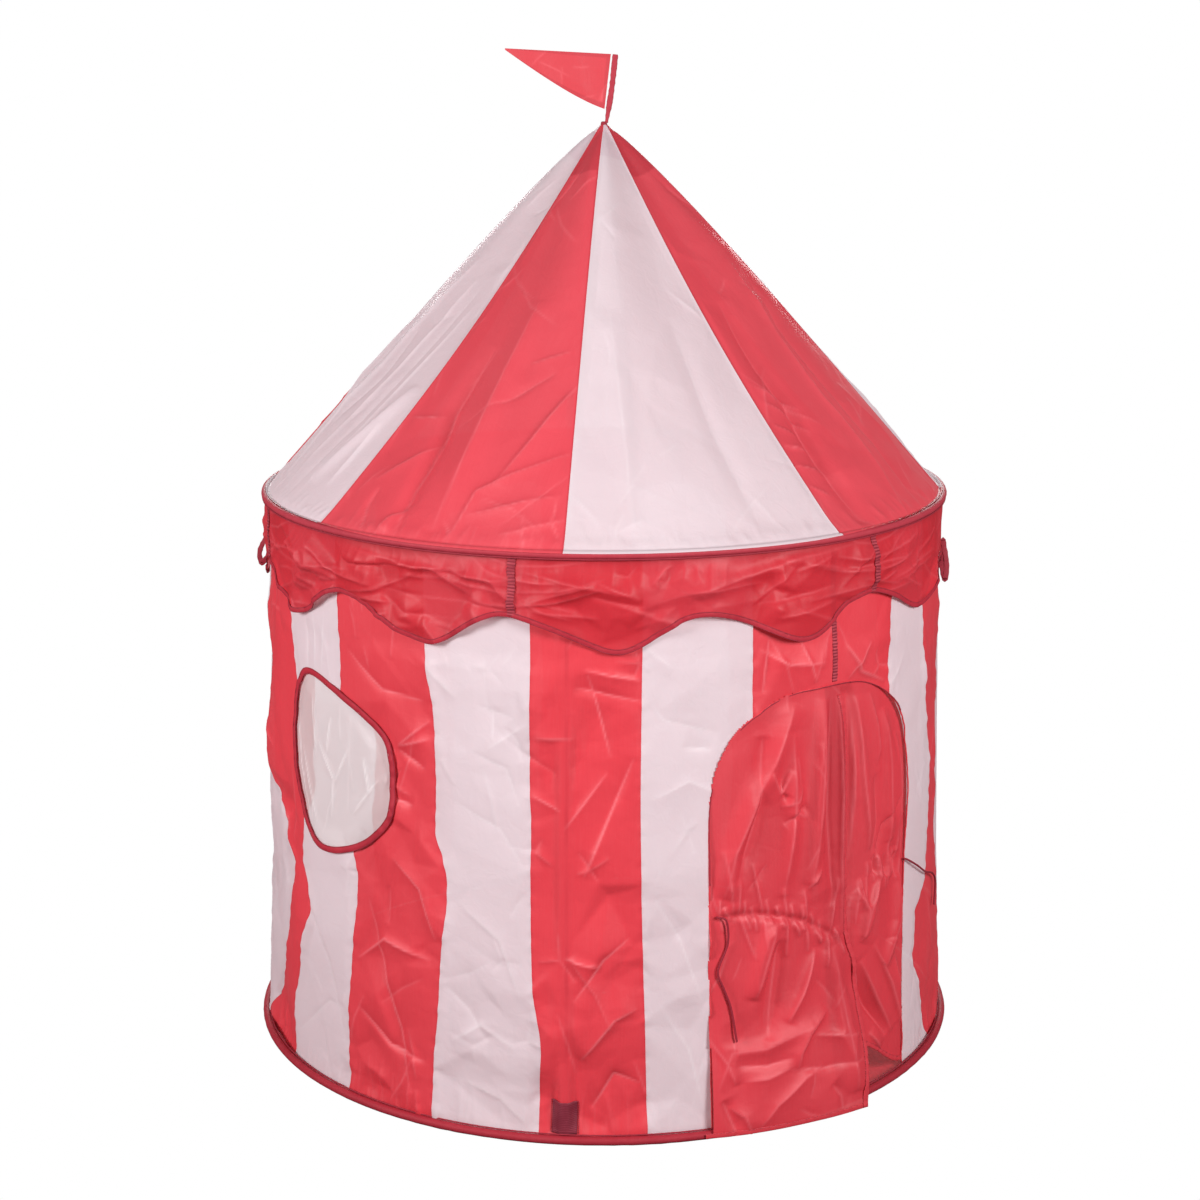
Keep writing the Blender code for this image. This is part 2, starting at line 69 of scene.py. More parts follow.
class Slot(Enum):
    """Material slots of the record that a piece's finish comes from."""

    RED = "red_cloth"
    WHITE = "white_cloth"
    TAPE = "tape"
    NET = "net"
    ROD = "rod"


class Dye(Enum):
    """Colour that a stripe or gore is sewn from."""

    RED = "R"
    WHITE = "W"


class Crease(Enum):
    """Form of a fold's ridge."""

    SHARP = "sharp"
    SOFT = "soft"


# Small sums


def linear(hex_colour: str) -> tuple[float, float, float, float]:
    """Turn an sRGB hex colour into the linear colour that a shader takes.

    Args:
        hex_colour: six hex digits, such as "E0485A".

    Returns:
        Red, green, blue and alpha, linear.
    """
    channels = []
    for start in (0, 2, 4):
        value = int(hex_colour[start:start + 2], 16) / 255.0
        channels.append(value / 12.92 if value <= 0.04045 else ((value + 0.055) / 1.055) ** 2.4)
    return (*channels, 1.0)


def smooth(share: Points | float) -> Points:
    """Ease from 0 to 1, held at both ends."""
    share = np.clip(share, 0.0, 1.0)
    return share * share * (3.0 - 2.0 * share)


def mix(first: Points | float, last: Points | float, share: Points | float) -> Points:
    """Value a share of the way from first to last."""
    return first + (last - first) * share


def round_the_tent(radius: Points, angle: Points, height: Points) -> Points:
    """Points at a radius, an angle in degrees from the front, and a height.

    Args:
        radius: distance from the tent's middle line.
        angle: degrees from the front towards +X.
        height: height above the floor.

    Returns:
        Array of points, one more axis than the inputs.
    """
    turn = np.radians(angle)
    flat = np.broadcast_arrays(radius * np.sin(turn), -radius * np.cos(turn), height)
    return np.stack(flat, axis=-1)


def from_front(angle: Points) -> Points:
    """Angle from the front, between -180 and 180 degrees."""
    return (angle + FULL_TURN / 2.0) % FULL_TURN - FULL_TURN / 2.0


def outward(angle: Points) -> Points:
    """Level directions out of the tent, one for each angle."""
    return round_the_tent(np.ones_like(angle), angle, np.zeros_like(angle))


def eased_line(knots: Sequence[tuple[float, float]], at: Points) -> Points:
    """Smooth line through knots, without overshoot.

    Args:
        knots: (place, value) pairs, by rising place.
        at: places to read.

    Returns:
        Values at those places, held past both ends.
    """
    places = np.array([knot[0] for knot in knots])
    values = np.array([knot[1] for knot in knots])
    steps = np.diff(places)
    slopes = np.diff(values) / steps
    lean = np.zeros(len(places))
    same = slopes[:-1] * slopes[1:] > 0.0
    lean[1:-1][same] = 2.0 * slopes[:-1][same] * slopes[1:][same] / (slopes[:-1] + slopes[1:])[same]
    at = np.clip(at, places[0], places[-1])
    index = np.clip(np.searchsorted(places, at, side="right") - 1, 0, len(steps) - 1)
    step = steps[index]
    t = (at - places[index]) / step
    start = (1.0 + 2.0 * t) * (1.0 - t) ** 2 * values[index] + t * (1.0 - t) ** 2 * step * lean[index]
    end = t * t * (3.0 - 2.0 * t) * values[index + 1] + t * t * (t - 1.0) * step * lean[index + 1]
    return start + end


def curve_through(points: Sequence[Points], count: int) -> Points:
    """Points along a smooth curve through the few points of a route.

    Args:
        points: the route's points.
        count: number of steps along it.

    Returns:
        Array of count + 1 points, evenly counted per stretch.
    """
    route = np.asarray(points, float)
    padded = np.vstack([route[0] * 2 - route[1], route, route[-1] * 2 - route[-2]])
    travel = np.linspace(0.0, len(route) - 1.0, count + 1)
    index = np.minimum(travel.astype(int), len(route) - 2)
    t = (travel - index)[:, None]
    before, here, there, after = (padded[index + step] for step in range(4))
    bend = (before * 2 - here * 5 + there * 4 - after) * t ** 2
    twist = (here * 3 - before - there * 3 + after) * t ** 3
    return (here * 2 + (there - before) * t + bend + twist) / 2


# The tent's own form, read from the frame


@dataclass(frozen=True)
class TentForm:
    """Main sizes of the tent, as the frame has them, and the form of its roof."""

    ground_reach: float
    ground_half: float
    eave_reach: float
    eave_half: float
    eave_height: float
    wall_foot: float
    wall_head: float
    roof_tip: float
    hub_radius: float
    pole_angle: float = -6.0
    poles: int = 4
    gores: int = 8
    pole_rise: float = 0.012
    gore_sag: float = 0.018
    ridge_sharpness: float = 1.5
    ridge_crest: float = 0.6
    cloth_gap: float = 0.3 * MM
    foot_lift: float = 2.6 * MM
    tip_gap: float = 1.2 * MM

    @classmethod
    def from_frame(cls) -> "TentForm":
        """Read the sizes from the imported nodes' boxes.

        Returns:
            The tent's form.
        """
        ground_low, ground_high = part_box("ground_hoop")
        eave_low, eave_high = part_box("eave_hoop")
        wall_low, wall_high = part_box("wall_stripe_03")
        hub_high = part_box("apex_hub")[1]
        return cls(
            ground_reach=ground_high.x,
            ground_half=(ground_high.z - ground_low.z) / 2.0,
            eave_reach=eave_high.x,
            eave_half=(eave_high.z - eave_low.z) / 2.0,
            eave_height=(eave_high.z + eave_low.z) / 2.0,
            wall_foot=wall_low.z,
            wall_head=wall_high.z,
            roof_tip=hub_high.z + 1.5 * MM,
            hub_radius=hub_high.x,
        )

    @property
    def eave_middle(self) -> float:
        """Radius of the eave hoop's own middle line."""
        return self.eave_reach - self.eave_half

    def wall_radius(self, height: Points) -> Points:
        """Radius of the wall's cloth at a height.

        Args:
            height: height above the floor.

        Returns:
            Distance from the tent's middle line.
        """
        stand_off = 1.6 * MM
        foot = self.ground_reach - 2.0 * self.ground_half - stand_off
        head = self.eave_reach - 2.0 * self.eave_half - stand_off
        return mix(foot, head, (height - self.wall_foot) / (self.wall_head - self.wall_foot))

    def roof_point(self, angle: Points, rise: Points, out: Points = 0.0) -> Points:
        """Points of the roof's cloth.

        Args:
            angle: degrees round the tent.
            rise: 0 at the eave, 1 at the hub.
            out: distance out of the cloth, at right angles to the roof.

        Returns:
            Array of points.
        """
        foot_radius = self.eave_reach - 2.0 * self.eave_half - self.cloth_gap
        foot_height = self.eave_height + self.foot_lift
        tip_radius = self.hub_radius + self.tip_gap
        slope = (self.roof_tip - foot_height) / foot_radius
        tip_height = self.roof_tip - slope * tip_radius
        nearness = 0.5 + 0.5 * np.cos(np.radians(self.poles * (angle - self.pole_angle)))
        ridge = nearness ** self.ridge_sharpness
        down = np.maximum(1.0 - rise, 0.0)
        lift = ridge * self.pole_rise * np.sin(math.pi * down ** self.ridge_crest)
        lift = lift - (1.0 - ridge) * self.gore_sag * np.sin(math.pi * down) + out
        length = math.hypot(1.0, slope)
        radius = mix(foot_radius, tip_radius, rise) + lift * slope / length
        return round_the_tent(radius, angle, mix(foot_height, tip_height, rise) + lift / length)

    def roof_length(self) -> float:
        """Length of a gore from the eave to the hub."""
        return math.hypot(self.eave_reach, self.roof_tip - self.eave_height)


FORM = TentForm.from_frame()


# Folds


@dataclass
class FoldMap:
    """Folds painted on a flat map of the cloth, as metres out of its plane."""

    left: float
    bottom: float
    width: float
    tall: float
    cell: float = 1.5 * MM
    wraps: bool = False
    out: Points = field(init=False)
    wear_and_sheen: Points = field(init=False)

    def __post_init__(self) -> None:
        """Start with a flat map."""
        columns = round(self.width / self.cell)
        rows = round(self.tall / self.cell) + 1
        self.out = np.zeros((rows, columns if self.wraps else columns + 1))
        self.wear_and_sheen = np.zeros_like(self.out)

    def window(self, low: Points, high: Points) -> tuple[Points, Points, Points, Points]:
        """Part of the map between two corners.

        Args:
            low: lowest (x, y).
            high: highest (x, y).

        Returns:
            Row and column indices, and the places (x as a row, y as a column).
        """
        rows, columns = self.out.shape
        first_row = max(0, math.floor((low[1] - self.bottom) / self.cell))
        last_row = min(rows - 1, math.ceil((high[1] - self.bottom) / self.cell))
        first = math.floor((low[0] - self.left) / self.cell)
        last = math.ceil((high[0] - self.left) / self.cell)
        if self.wraps:
            last = min(last, first + columns - 1)
        else:
            first = max(0, first)
            last = min(columns - 1, last)
        down = np.arange(first_row, last_row + 1)
        over = np.arange(first, last + 1)
        x = self.left + over * self.cell
        y = self.bottom + down * self.cell
        return down, over % columns, x[None, :], y[:, None]

    def fold(self, route: Sequence[Sequence[float]], height: float, width: float,
             lean: float = 0.0, wear: float = 0.3, crease: Crease = Crease.SHARP) -> None:
        """Paint a fold along a route, tapered to nothing at both ends.

        Args:
            route: (x, y) points of the fold's line.
            height: ridge height, negative for a valley.
            width: distance over which the fold dies away at each side.
            lean: from -1 to 1, how much steeper one side is than the other.
            wear: how strongly the line shows as a pale crease, partly wear and partly a painted highlight.
            crease: whether its ridge is sharp or rounded.
        """
        line = np.asarray(route, float)
        ridge_round, mark_width = 0.4 * MM, 1.3 * MM
        reach = 4.5 * width
        down, over, x, y = self.window(line.min(axis=0) - reach, line.max(axis=0) + reach)
        if not len(down) or not len(over):
            return
        # Each point's distance from the route, its place along it, and its side of it
        legs = np.diff(line, axis=0)
        lengths = np.hypot(legs[:, 0], legs[:, 1])
        travelled = np.concatenate([[0.0], np.cumsum(lengths)])
        nearest = np.full((len(down), len(over)), np.inf)
        along = np.zeros_like(nearest)
        side = np.zeros_like(nearest)
        for start, leg, length, before in zip(line, legs, lengths, travelled):
            right = x - start[0]
            above = y - start[1]
            share = np.clip((right * leg[0] + above * leg[1]) / length ** 2, 0.0, 1.0)
            gap = np.hypot(right - share * leg[0], above - share * leg[1])
            closer = gap < nearest
            nearest = np.where(closer, gap, nearest)
            along = np.where(closer, before + share * length, along)
            side = np.where(closer, np.sign(right * leg[1] - above * leg[0]), side)
        taper = np.clip(np.sin(math.pi * along / travelled[-1]), 0.0, 1.0) ** 0.6
        place = np.ix_(down, over)
        if crease is Crease.SHARP:
            spread = np.hypot(nearest, ridge_round) / (width * (1.0 + lean * side))
        else:
            spread = (nearest / width) ** 2
        self.out[place] += height * taper * np.exp(-spread)
        # Pale line along the fold: partly crease wear, partly a painted highlight
        mark = wear * taper * np.exp(-(nearest / mark_width) ** 2)
        self.wear_and_sheen[place] = np.maximum(self.wear_and_sheen[place], mark)

    def paint_routes(self, rows: Sequence[tuple], random: Random) -> None:
        """Paint folds that were read off the photograph.

        Args:
            rows: (height, width, (x, y), (x, y), ...) of each fold, in mm. A fold wider than
                11 mm is soft, and has a fainter sharp crease along its ridge.
            random: source of how far each one leans.
        """
        for height, width, *route in rows:
            route = np.array(route) / MM_PER_METRE
            lean = random.uniform(0.3, 0.7) * random.choice((-1.0, 1.0))
            if width > 11.0:
                self.fold(route, height * MM, width * MM, 0.0, 0.1, Crease.SOFT)
                height, width = 0.35 * height, 0.6 * width
            self.fold(route, height * MM, width * MM, lean, 0.4)

    def chance_fold(self, route: Sequence[Sequence[float]], heights: tuple[float, float],
                    widths: tuple[float, float], lean: float, wear: float, random: Random,
                    crease: Crease = Crease.SHARP) -> None:
        """Paint a fold whose height, width and lean are left to chance.

        Args:
            route: (x, y) points of the fold's line.
            heights: lowest and highest ridge, in mm.
            widths: narrowest and widest, in mm.
            lean: largest lean to either side.
            wear: how strongly its line shows as a pale crease, partly wear and partly a painted highlight.
            random: source of the three.
            crease: whether its ridge is sharp or rounded.
        """
        height = random.uniform(*heights) * MM
        width = random.uniform(*widths) * MM
        self.fold(route, height, width, random.uniform(-lean, lean), wear, crease)

    def star(self, centre: Sequence[float], arms: int, length: float, height: float,
             random: Random) -> None:
        """Paint a pinch with creases that run out of it.

        Args:
            centre: (x, y) of the pinch.
            arms: number of creases.
            length: longest crease.
            height: height of the creases.
            random: source of the arms' angles and lengths.
        """
        turn = random.uniform(0.0, math.tau)
        for arm in range(arms):
            angle = turn + math.tau * arm / arms + random.uniform(-0.4, 0.4)
            reach = length * random.uniform(0.4, 1.0)
            start, end = ((centre[0] + away * math.cos(angle), centre[1] + away * math.sin(angle))
                          for away in (-0.15 * reach, reach))
            rise = height * random.uniform(0.6, 1.0) * (1 if arm % 2 else -1)
            self.fold([start, end], rise, 4 * MM, random.uniform(-0.5, 0.5))

    def scatter(self, count: int, lengths: tuple[float, float], heights: tuple[float, float],
                widths: tuple[float, float], random: Random,
                upright: float = 0.0) -> None:
        """Paint straight creases at random.

        Args:
            count: number of creases.
            lengths: shortest and longest.
            heights: lowest and highest ridge.
            widths: narrowest and widest.
            random: source of their places.
            upright: from 0, any direction, to 1, all upright.
        """
        for _ in range(count):
            x = self.left + random.uniform(0.0, self.width)
            y = self.bottom + random.uniform(0.0, self.tall)
            angle = mix(random.uniform(0.0, math.pi), random.normal(math.pi / 2, 0.2), upright)
            half = random.uniform(*lengths) / 2.0
            kink = random.uniform(-0.15, 0.15) * half
            across = (-math.sin(angle) * kink, math.cos(angle) * kink)
            step = (math.cos(angle) * half, math.sin(angle) * half)
            route = [(x - step[0], y - step[1]), (x + across[0], y + across[1]),
                     (x + step[0], y + step[1])]
            rise = random.uniform(*heights) * random.choice((-1.0, 1.0, 1.0))
            self.fold(route, rise, random.uniform(*widths), random.uniform(-0.6, 0.6))

    def patches(self, size: float, random: Random) -> Points:
        """Soft patches over the map, from 0 to 1.

        Args:
            size: usual size of a patch.
            random: source of their places.

        Returns:
            One value for each point of the map.
        """
        rows, columns = self.out.shape
        x = np.arange(columns)[None, :] / columns
        y = np.arange(rows)[:, None] * self.cell
        level = np.zeros(self.out.shape)
        for _ in range(7):
            across = round(self.width / size * random.uniform(-0.6, 0.6))
            up = random.uniform(0.2, 0.6) / size
            level += np.sin(math.tau * (across * x + up * y + random.uniform()))
        return smooth(0.5 + level / 4.0)

    def facets(self, spacing: float, height: float, random: Random,
               stretch: float = 1.0, where: Points | float = 1.0) -> None:
        """Crumple the map into flat facets with crisp edges between them.

        Args:
            spacing: usual distance between the facets' corners.
            height: spread of the corners' heights.
            random: source of their places and heights.
            stretch: how much further apart they are upwards.
            where: share of the height that each point of the map gets.
        """
        columns = max(2, round(self.width / spacing))
        rows = max(2, round(self.tall / (spacing * stretch)))
        step_x = self.width / columns
        step_y = self.tall / rows
        # Corners on a shaken grid, repeated past the left and right edges
        corners = []
        for row in range(-1, rows + 2):
            shift = 0.5 * (row % 2)
            for column in range(columns):
                x = self.left + (column + shift + random.uniform(-0.4, 0.4)) * step_x
                y = self.bottom + (row + random.uniform(-0.4, 0.4)) * step_y
                corners.append((x, y, random.normal(0.0, height)))
        base = np.array(corners)
        margin = 3.0 * step_x
        near_left = base[base[:, 0] < self.left + margin] + (self.width, 0.0, 0.0)
        near_right = base[base[:, 0] > self.left + self.width - margin] - (self.width, 0.0, 0.0)
        everywhere = np.vstack([base, near_left, near_right])
        # Flat triangles between them
        spots = [Vector(corner[:2]) for corner in everywhere]
        found, _, faces, origins, _, _ = delaunay_2d_cdt(spots, [], [], 0, 1e-7)
        places = np.array([tuple(spot) for spot in found])
        levels = np.array([everywhere[origin[0], 2] if origin else 0.0 for origin in origins])
        level = np.zeros_like(self.out)
        for face in faces:
            corner = places[list(face)]
            down, over, x, y = self.window(corner.min(axis=0), corner.max(axis=0))
            if not len(down) or not len(over):
                continue
            (ax, ay), (bx, by), (cx, cy) = corner
            area = (by - cy) * (ax - cx) + (cx - bx) * (ay - cy)
            if abs(area) < 1e-12:
                continue
            first = ((by - cy) * (x - cx) + (cx - bx) * (y - cy)) / area
            second = ((cy - ay) * (x - cx) + (ax - cx) * (y - cy)) / area
            third = 1.0 - first - second
            inside = (first >= -1e-6) & (second >= -1e-6) & (third >= -1e-6)
            heights = levels[list(face)]
            value = first * heights[0] + second * heights[1] + third * heights[2]
            place = np.ix_(down, over)
            level[place] = np.where(inside, value, level[place])
        self.out += level * where

    def waves(self, rows: Sequence[tuple[float, float, float, float]]) -> None:
        """Add soft waves.

        Args:
            rows: (waves across the map, waves up it, phase in turns, height) of each.
        """
        down, columns = self.out.shape
        x = np.arange(columns)[None, :] / columns
        y = np.arange(down)[:, None] / down
        for across, up, phase, height in rows:
            self.out += height * np.sin(math.tau * (across * x + up * y + phase))

    def soften(self, times: int) -> None:
        """Round the folds off a little.

        Args:
            times: number of passes of a three-point blur each way.
        """
        edge = "wrap" if self.wraps else "edge"
        for _ in range(times):
            wide = np.pad(self.out, ((0, 0), (1, 1)), mode=edge)
            self.out = (wide[:, :-2] + 2.0 * wide[:, 1:-1] + wide[:, 2:]) / 4.0
            high = np.pad(self.out, ((1, 1), (0, 0)), mode="edge")
            self.out = (high[:-2] + 2.0 * high[1:-1] + high[2:]) / 4.0

    def read(self, x: Points, y: Points) -> tuple[Points, Points]:
        """Read the folds and their pale crease marks, partly wear and partly painted highlight.

        Args:
            x: places across the map.
            y: places up it.

        Returns:
            Metres out of the cloth's plane, and pale crease marks from 0 to 1.
        """
        rows, columns = self.out.shape
        over = (x - self.left) / self.cell
        up = np.clip((y - self.bottom) / self.cell, 0.0, rows - 1.001)
        if not self.wraps:
            over = np.clip(over, 0.0, columns - 1.001)
        column = np.floor(over).astype(int)
        row = np.floor(up).astype(int)
        right = over - column
        above = up - row
        following = (column + 1) % columns
        column = column % columns
        result = []
        for layer in (self.out, self.wear_and_sheen):
            lower = mix(layer[row, column], layer[row, following], right)
            upper = mix(layer[row + 1, column], layer[row + 1, following], right)
            result.append(mix(lower, upper, above))
        return result[0], result[1]


# Meshes


def new_object(name: str, mesh: bpy.types.Mesh, material: bpy.types.Material) -> bpy.types.Object:
    """Link a mesh as a piece at the origin, shaded smooth.

    Args:
        name: the piece's name.
        mesh: its mesh.
        material: its finish.

    Returns:
        The new object.
    """
    mesh.materials.append(material)
    mesh.shade_smooth()
    piece = bpy.data.objects.new(name, mesh)
    bpy.context.scene.collection.objects.link(piece)
    return piece


def settle(piece: bpy.types.Object, slot: Slot, *nodes: str) -> None:
    """Fix a finished piece to the tent.

    Args:
        piece: the object.
        slot: record slot of its finish; not used.
        nodes: CAD nodes that it stands for.
    """
    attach(piece, BODY)
    if nodes:
        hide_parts(*nodes)
    LOG.info("%s: %d faces", piece.name, len(piece.data.polygons))


@dataclass
class Cloth:
    """A sheet of cloth as a grid of points, with its flat cut and its marks."""

    points: Points
    flat: Points
    marks: dict[str, Points] = field(default_factory=dict)
    keep: Points | None = None

    def area(self) -> float:
        """Add up the faces that are kept.

        Returns:
            Their flat area, in square metres.
        """
        span = self.flat
        first = span[1:, 1:] - span[:-1, :-1]
        second = span[1:, :-1] - span[:-1, 1:]
        cells = np.abs(first[..., 0] * second[..., 1] - first[..., 1] * second[..., 0]) / 2.0
        return float(cells.sum() if self.keep is None else cells[self.keep].sum())

    def build(self, name: str, material: bpy.types.Material) -> bpy.types.Object:
        """Make the mesh.

        Args:
            name: the piece's name.
            material: its finish.

        Returns:
            The new object, with a UV map in metres of flat cloth and its marks as attributes.
        """
        rows, columns = self.points.shape[:2]
        index = np.arange(rows * columns).reshape(rows, columns)
        corners = (index[:-1, :-1], index[:-1, 1:], index[1:, 1:], index[1:, :-1])
        faces = np.stack(corners, axis=-1)
        faces = faces.reshape(-1, 4) if self.keep is None else faces[self.keep]
        used, faces = np.unique(faces, return_inverse=True)
        faces = faces.reshape(-1, 4)
        mesh = bpy.data.meshes.new(name)
        mesh.from_pydata(self.points.reshape(-1, 3)[used].tolist(), [], faces.tolist())
        layer = mesh.uv_layers.new(name=CLOTH_MAP)
        layer.data.foreach_set("uv", self.flat.reshape(-1, 2)[used][faces].ravel())
        for title, values in self.marks.items():
            mark = mesh.attributes.new(title, "FLOAT", "POINT")
            spread = np.broadcast_to(values, (rows, columns)).reshape(-1)[used]
            mark.data.foreach_set("value", spread.astype(np.float32))
        mesh.update()
        return new_object(name, mesh, material)


def declare_sheet(cloth: Cloth) -> None:
    """Work out which points of a sheet's grid its kept faces use; the result is neither stored nor passed on.

    Args:
        cloth: the grid that it was made from.
    """
    used = np.ones(cloth.flat.shape[:2], bool)
    if cloth.keep is not None:
        used[:] = False
        for down in (0, 1):
            for over in (0, 1):
                rows, columns = cloth.keep.shape
                used[down:down + rows, over:over + columns] |= cloth.keep


@dataclass
class TapeRun:
    """A tape or folded binding along a line, with a rounded flat section."""

    width: float
    thickness: float
    closed: bool = False
    ripple: float = 0.0
    ripple_length: float = 9 * MM
    start_share: float = 1.0
    sides: int = 10

    def build(self, name: str, line: Points, out: Points,
              material: bpy.types.Material) -> bpy.types.Object:
        """Sweep the tape's section along a line.

        Args:
            name: the piece's name.
            line: points along the tape's middle.
            out: directions that the tape's face looks in, one for each point.
            material: its finish.

        Returns:
            The new object, with a UV map in metres along and round the tape.
        """
        count = len(line)
        if self.closed:
            ahead = np.roll(line, -1, axis=0) - np.roll(line, 1, axis=0)
            steps = np.linalg.norm(np.roll(line, -1, axis=0) - line, axis=1)
        else:
            ahead = np.gradient(line, axis=0)
            steps = np.linalg.norm(np.diff(line, axis=0), axis=1)
        ahead /= np.linalg.norm(ahead, axis=1)[:, None]
        across = np.cross(out, ahead)
        across /= np.linalg.norm(across, axis=1)[:, None]
        face = np.cross(ahead, across)
        travelled = np.concatenate([[0.0], np.cumsum(steps)])[:count]
        # Two waves that never meet alike, so that the ruching doesn't repeat
        phase = travelled / self.ripple_length
        swell = np.sin(math.tau * phase) + 0.6 * np.sin(math.tau * phase * 0.61 + 1.0)
        lift = self.ripple * swell
        # A flat section with rounded edges
        turn = math.tau * (np.arange(self.sides) + 0.5) / self.sides
        flatness = 0.55
        wide = np.sign(np.cos(turn)) * np.abs(np.cos(turn)) ** flatness * self.width / 2.0
        deep = np.sign(np.sin(turn)) * np.abs(np.sin(turn)) ** flatness * self.thickness / 2.0
        narrow = 1.0 - 0.12 * np.abs(swell) * (self.ripple > 0.0)
        narrow *= mix(self.start_share, 1.0, smooth(travelled / (3.0 * self.width)))
        section = (across[:, None] * (wide[None, :, None] * narrow[:, None, None])
                   + face[:, None] * (deep[None, :, None] + lift[:, None, None]))
        points = (line[:, None] + section).reshape(-1, 3)
        here = np.arange(count * self.sides).reshape(count, self.sides)
        there = np.roll(here, -1, axis=0)
        corners = (here, there, np.roll(there, -1, axis=1), np.roll(here, -1, axis=1))
        runs = count if self.closed else count - 1
        faces = np.stack(corners, axis=-1)[:runs].reshape(-1, 4).tolist()
        if not self.closed:
            faces += [here[0].tolist(), here[-1, ::-1].tolist()]
        mesh = bpy.data.meshes.new(name)
        mesh.from_pydata(points.tolist(), [], faces)
        layer = mesh.uv_layers.new(name=CLOTH_MAP)
        around = np.arange(self.sides) * (2.0 * self.width / self.sides)
        corner = np.zeros(len(mesh.loops), int)
        mesh.loops.foreach_get("vertex_index", corner)
        uv = np.stack([around[corner % self.sides], travelled[corner // self.sides]], axis=-1)
        layer.data.foreach_set("uv", uv.ravel())
        mesh.update()
        return new_object(name, mesh, material)


def edged_tape(name: str, line: Points, out: Points, run: TapeRun, body: bpy.types.Material,
               edge: bpy.types.Material) -> bpy.types.Object:
    """Make a folded binding with the dark line of stitching along both of its edges.

    Args:
        name: the piece's name.
        line: points along its middle.
        out: directions that its face looks in.
        run: its size.
        body: its cloth.
        edge: the stitching.

    Returns:
        The binding itself.
    """
    ahead = np.roll(line, -1, axis=0) - np.roll(line, 1, axis=0) if run.closed else np.gradient(line, axis=0)
    across = np.cross(out, ahead)
    across /= np.linalg.norm(across, axis=1)[:, None]
    facing = out / np.linalg.norm(out, axis=1)[:, None]
    for side, title in ((-1.0, "lower"), (1.0, "upper")):
        shifted = line + across * (side * 0.46 * run.width) + facing * (0.32 * run.thickness)
        thread = TapeRun(1.3 * MM, 0.9 * MM, run.closed, sides=6)
        settle(thread.build(f"{name}_{title}_stitching", shifted, out, edge), Slot.TAPE)
    return run.build(name, line, out, body)


@dataclass
class Stitches:
    """A row of stitches, each a short four-sided bead of thread."""

    pitch: float = 3.4 * MM
    length: float = 2.3 * MM
    radius: float = 0.35 * MM

    def build(self, name: str, line: Points, out: Points,
              material: bpy.types.Material) -> bpy.types.Object:
        """Lay stitches along a line, on top of the cloth.

        Args:
            name: the piece's name.
            line: points along the row.
            out: directions out of the cloth.
            material: the thread.

        Returns:
            The new object, all stitches joined in one mesh.
        """
        steps = np.linalg.norm(np.diff(line, axis=0), axis=1)
        travelled = np.concatenate([[0.0], np.cumsum(steps)])
        count = max(1, int(travelled[-1] / self.pitch))
        places = (np.arange(count) + 0.5) * travelled[-1] / count
        vertices = []
        faces = []
        for place in places:
            ends = []
            for reach in (-0.5, -0.3, 0.3, 0.5):
                at = np.clip(place + reach * self.length, 0.0, travelled[-1])
                ends.append([np.interp(at, travelled, line[:, axis]) for axis in range(3)])
            facing = np.array([np.interp(place, travelled, out[:, axis]) for axis in range(3)])
            facing /= np.linalg.norm(facing)
            ahead = np.array(ends[3]) - np.array(ends[0])
            side = np.cross(ahead, facing)
            side /= max(np.linalg.norm(side), 1e-9)
            # Four rings of four points, small at both ends
            base = len(vertices)
            for centre, size in zip(ends, (0.35, 1.0, 1.0, 0.35)):
                for corner in range(4):
                    turn = math.tau * corner / 4.0
                    spoke = side * math.cos(turn) + facing * math.sin(turn)
                    vertices.append(np.array(centre) + spoke * self.radius * size)
            for ring in range(3):
                for corner in range(4):
                    after = (corner + 1) % 4
                    low = base + ring * 4
                    faces.append((low + corner, low + after, low + 4 + after, low + 4 + corner))
            faces.append((base + 3, base + 2, base + 1, base))
            faces.append((base + 12, base + 13, base + 14, base + 15))
        mesh = bpy.data.meshes.new(name)
        mesh.from_pydata([tuple(vertex) for vertex in vertices], [], faces)
        mesh.update()
        return new_object(name, mesh, material)


# Finishes


def add_node(tree: bpy.types.NodeTree, kind: str, inputs: dict | None = None, out: str = "",
             **settings: object) -> bpy.types.NodeSocket | None:
    """Add a shader node with its settings and links.

    Args:
        tree: the material's node tree.
        kind: the node's type name, without its first word.
        inputs: socket names or numbers, with a value or a socket to link from.
        out: name of the output that is used, where it isn't the first.
        settings: the node's own properties.

    Returns:
        That output, or None for a node without one.
    """
    node = tree.nodes.new(f"ShaderNode{kind}")
    for title, value in settings.items():
        setattr(node, title, value)
    for title, value in (inputs or {}).items():
        if isinstance(value, bpy.types.NodeSocket):
            tree.links.new(value, node.inputs[title])
        else:
            node.inputs[title].default_value = value
    if out:
        return node.outputs[out]
    return next((socket for socket in node.outputs if socket.enabled), None)


def start_material(name: str) -> tuple[bpy.types.Material, bpy.types.NodeTree]:
    """Make an empty material with nodes.

    Args:
        name: the material's name.

    Returns:
        The material and its node tree.
    """
    material = bpy.data.materials.new(name)
    material.use_nodes = True
    material.node_tree.nodes.clear()
    return material, material.node_tree


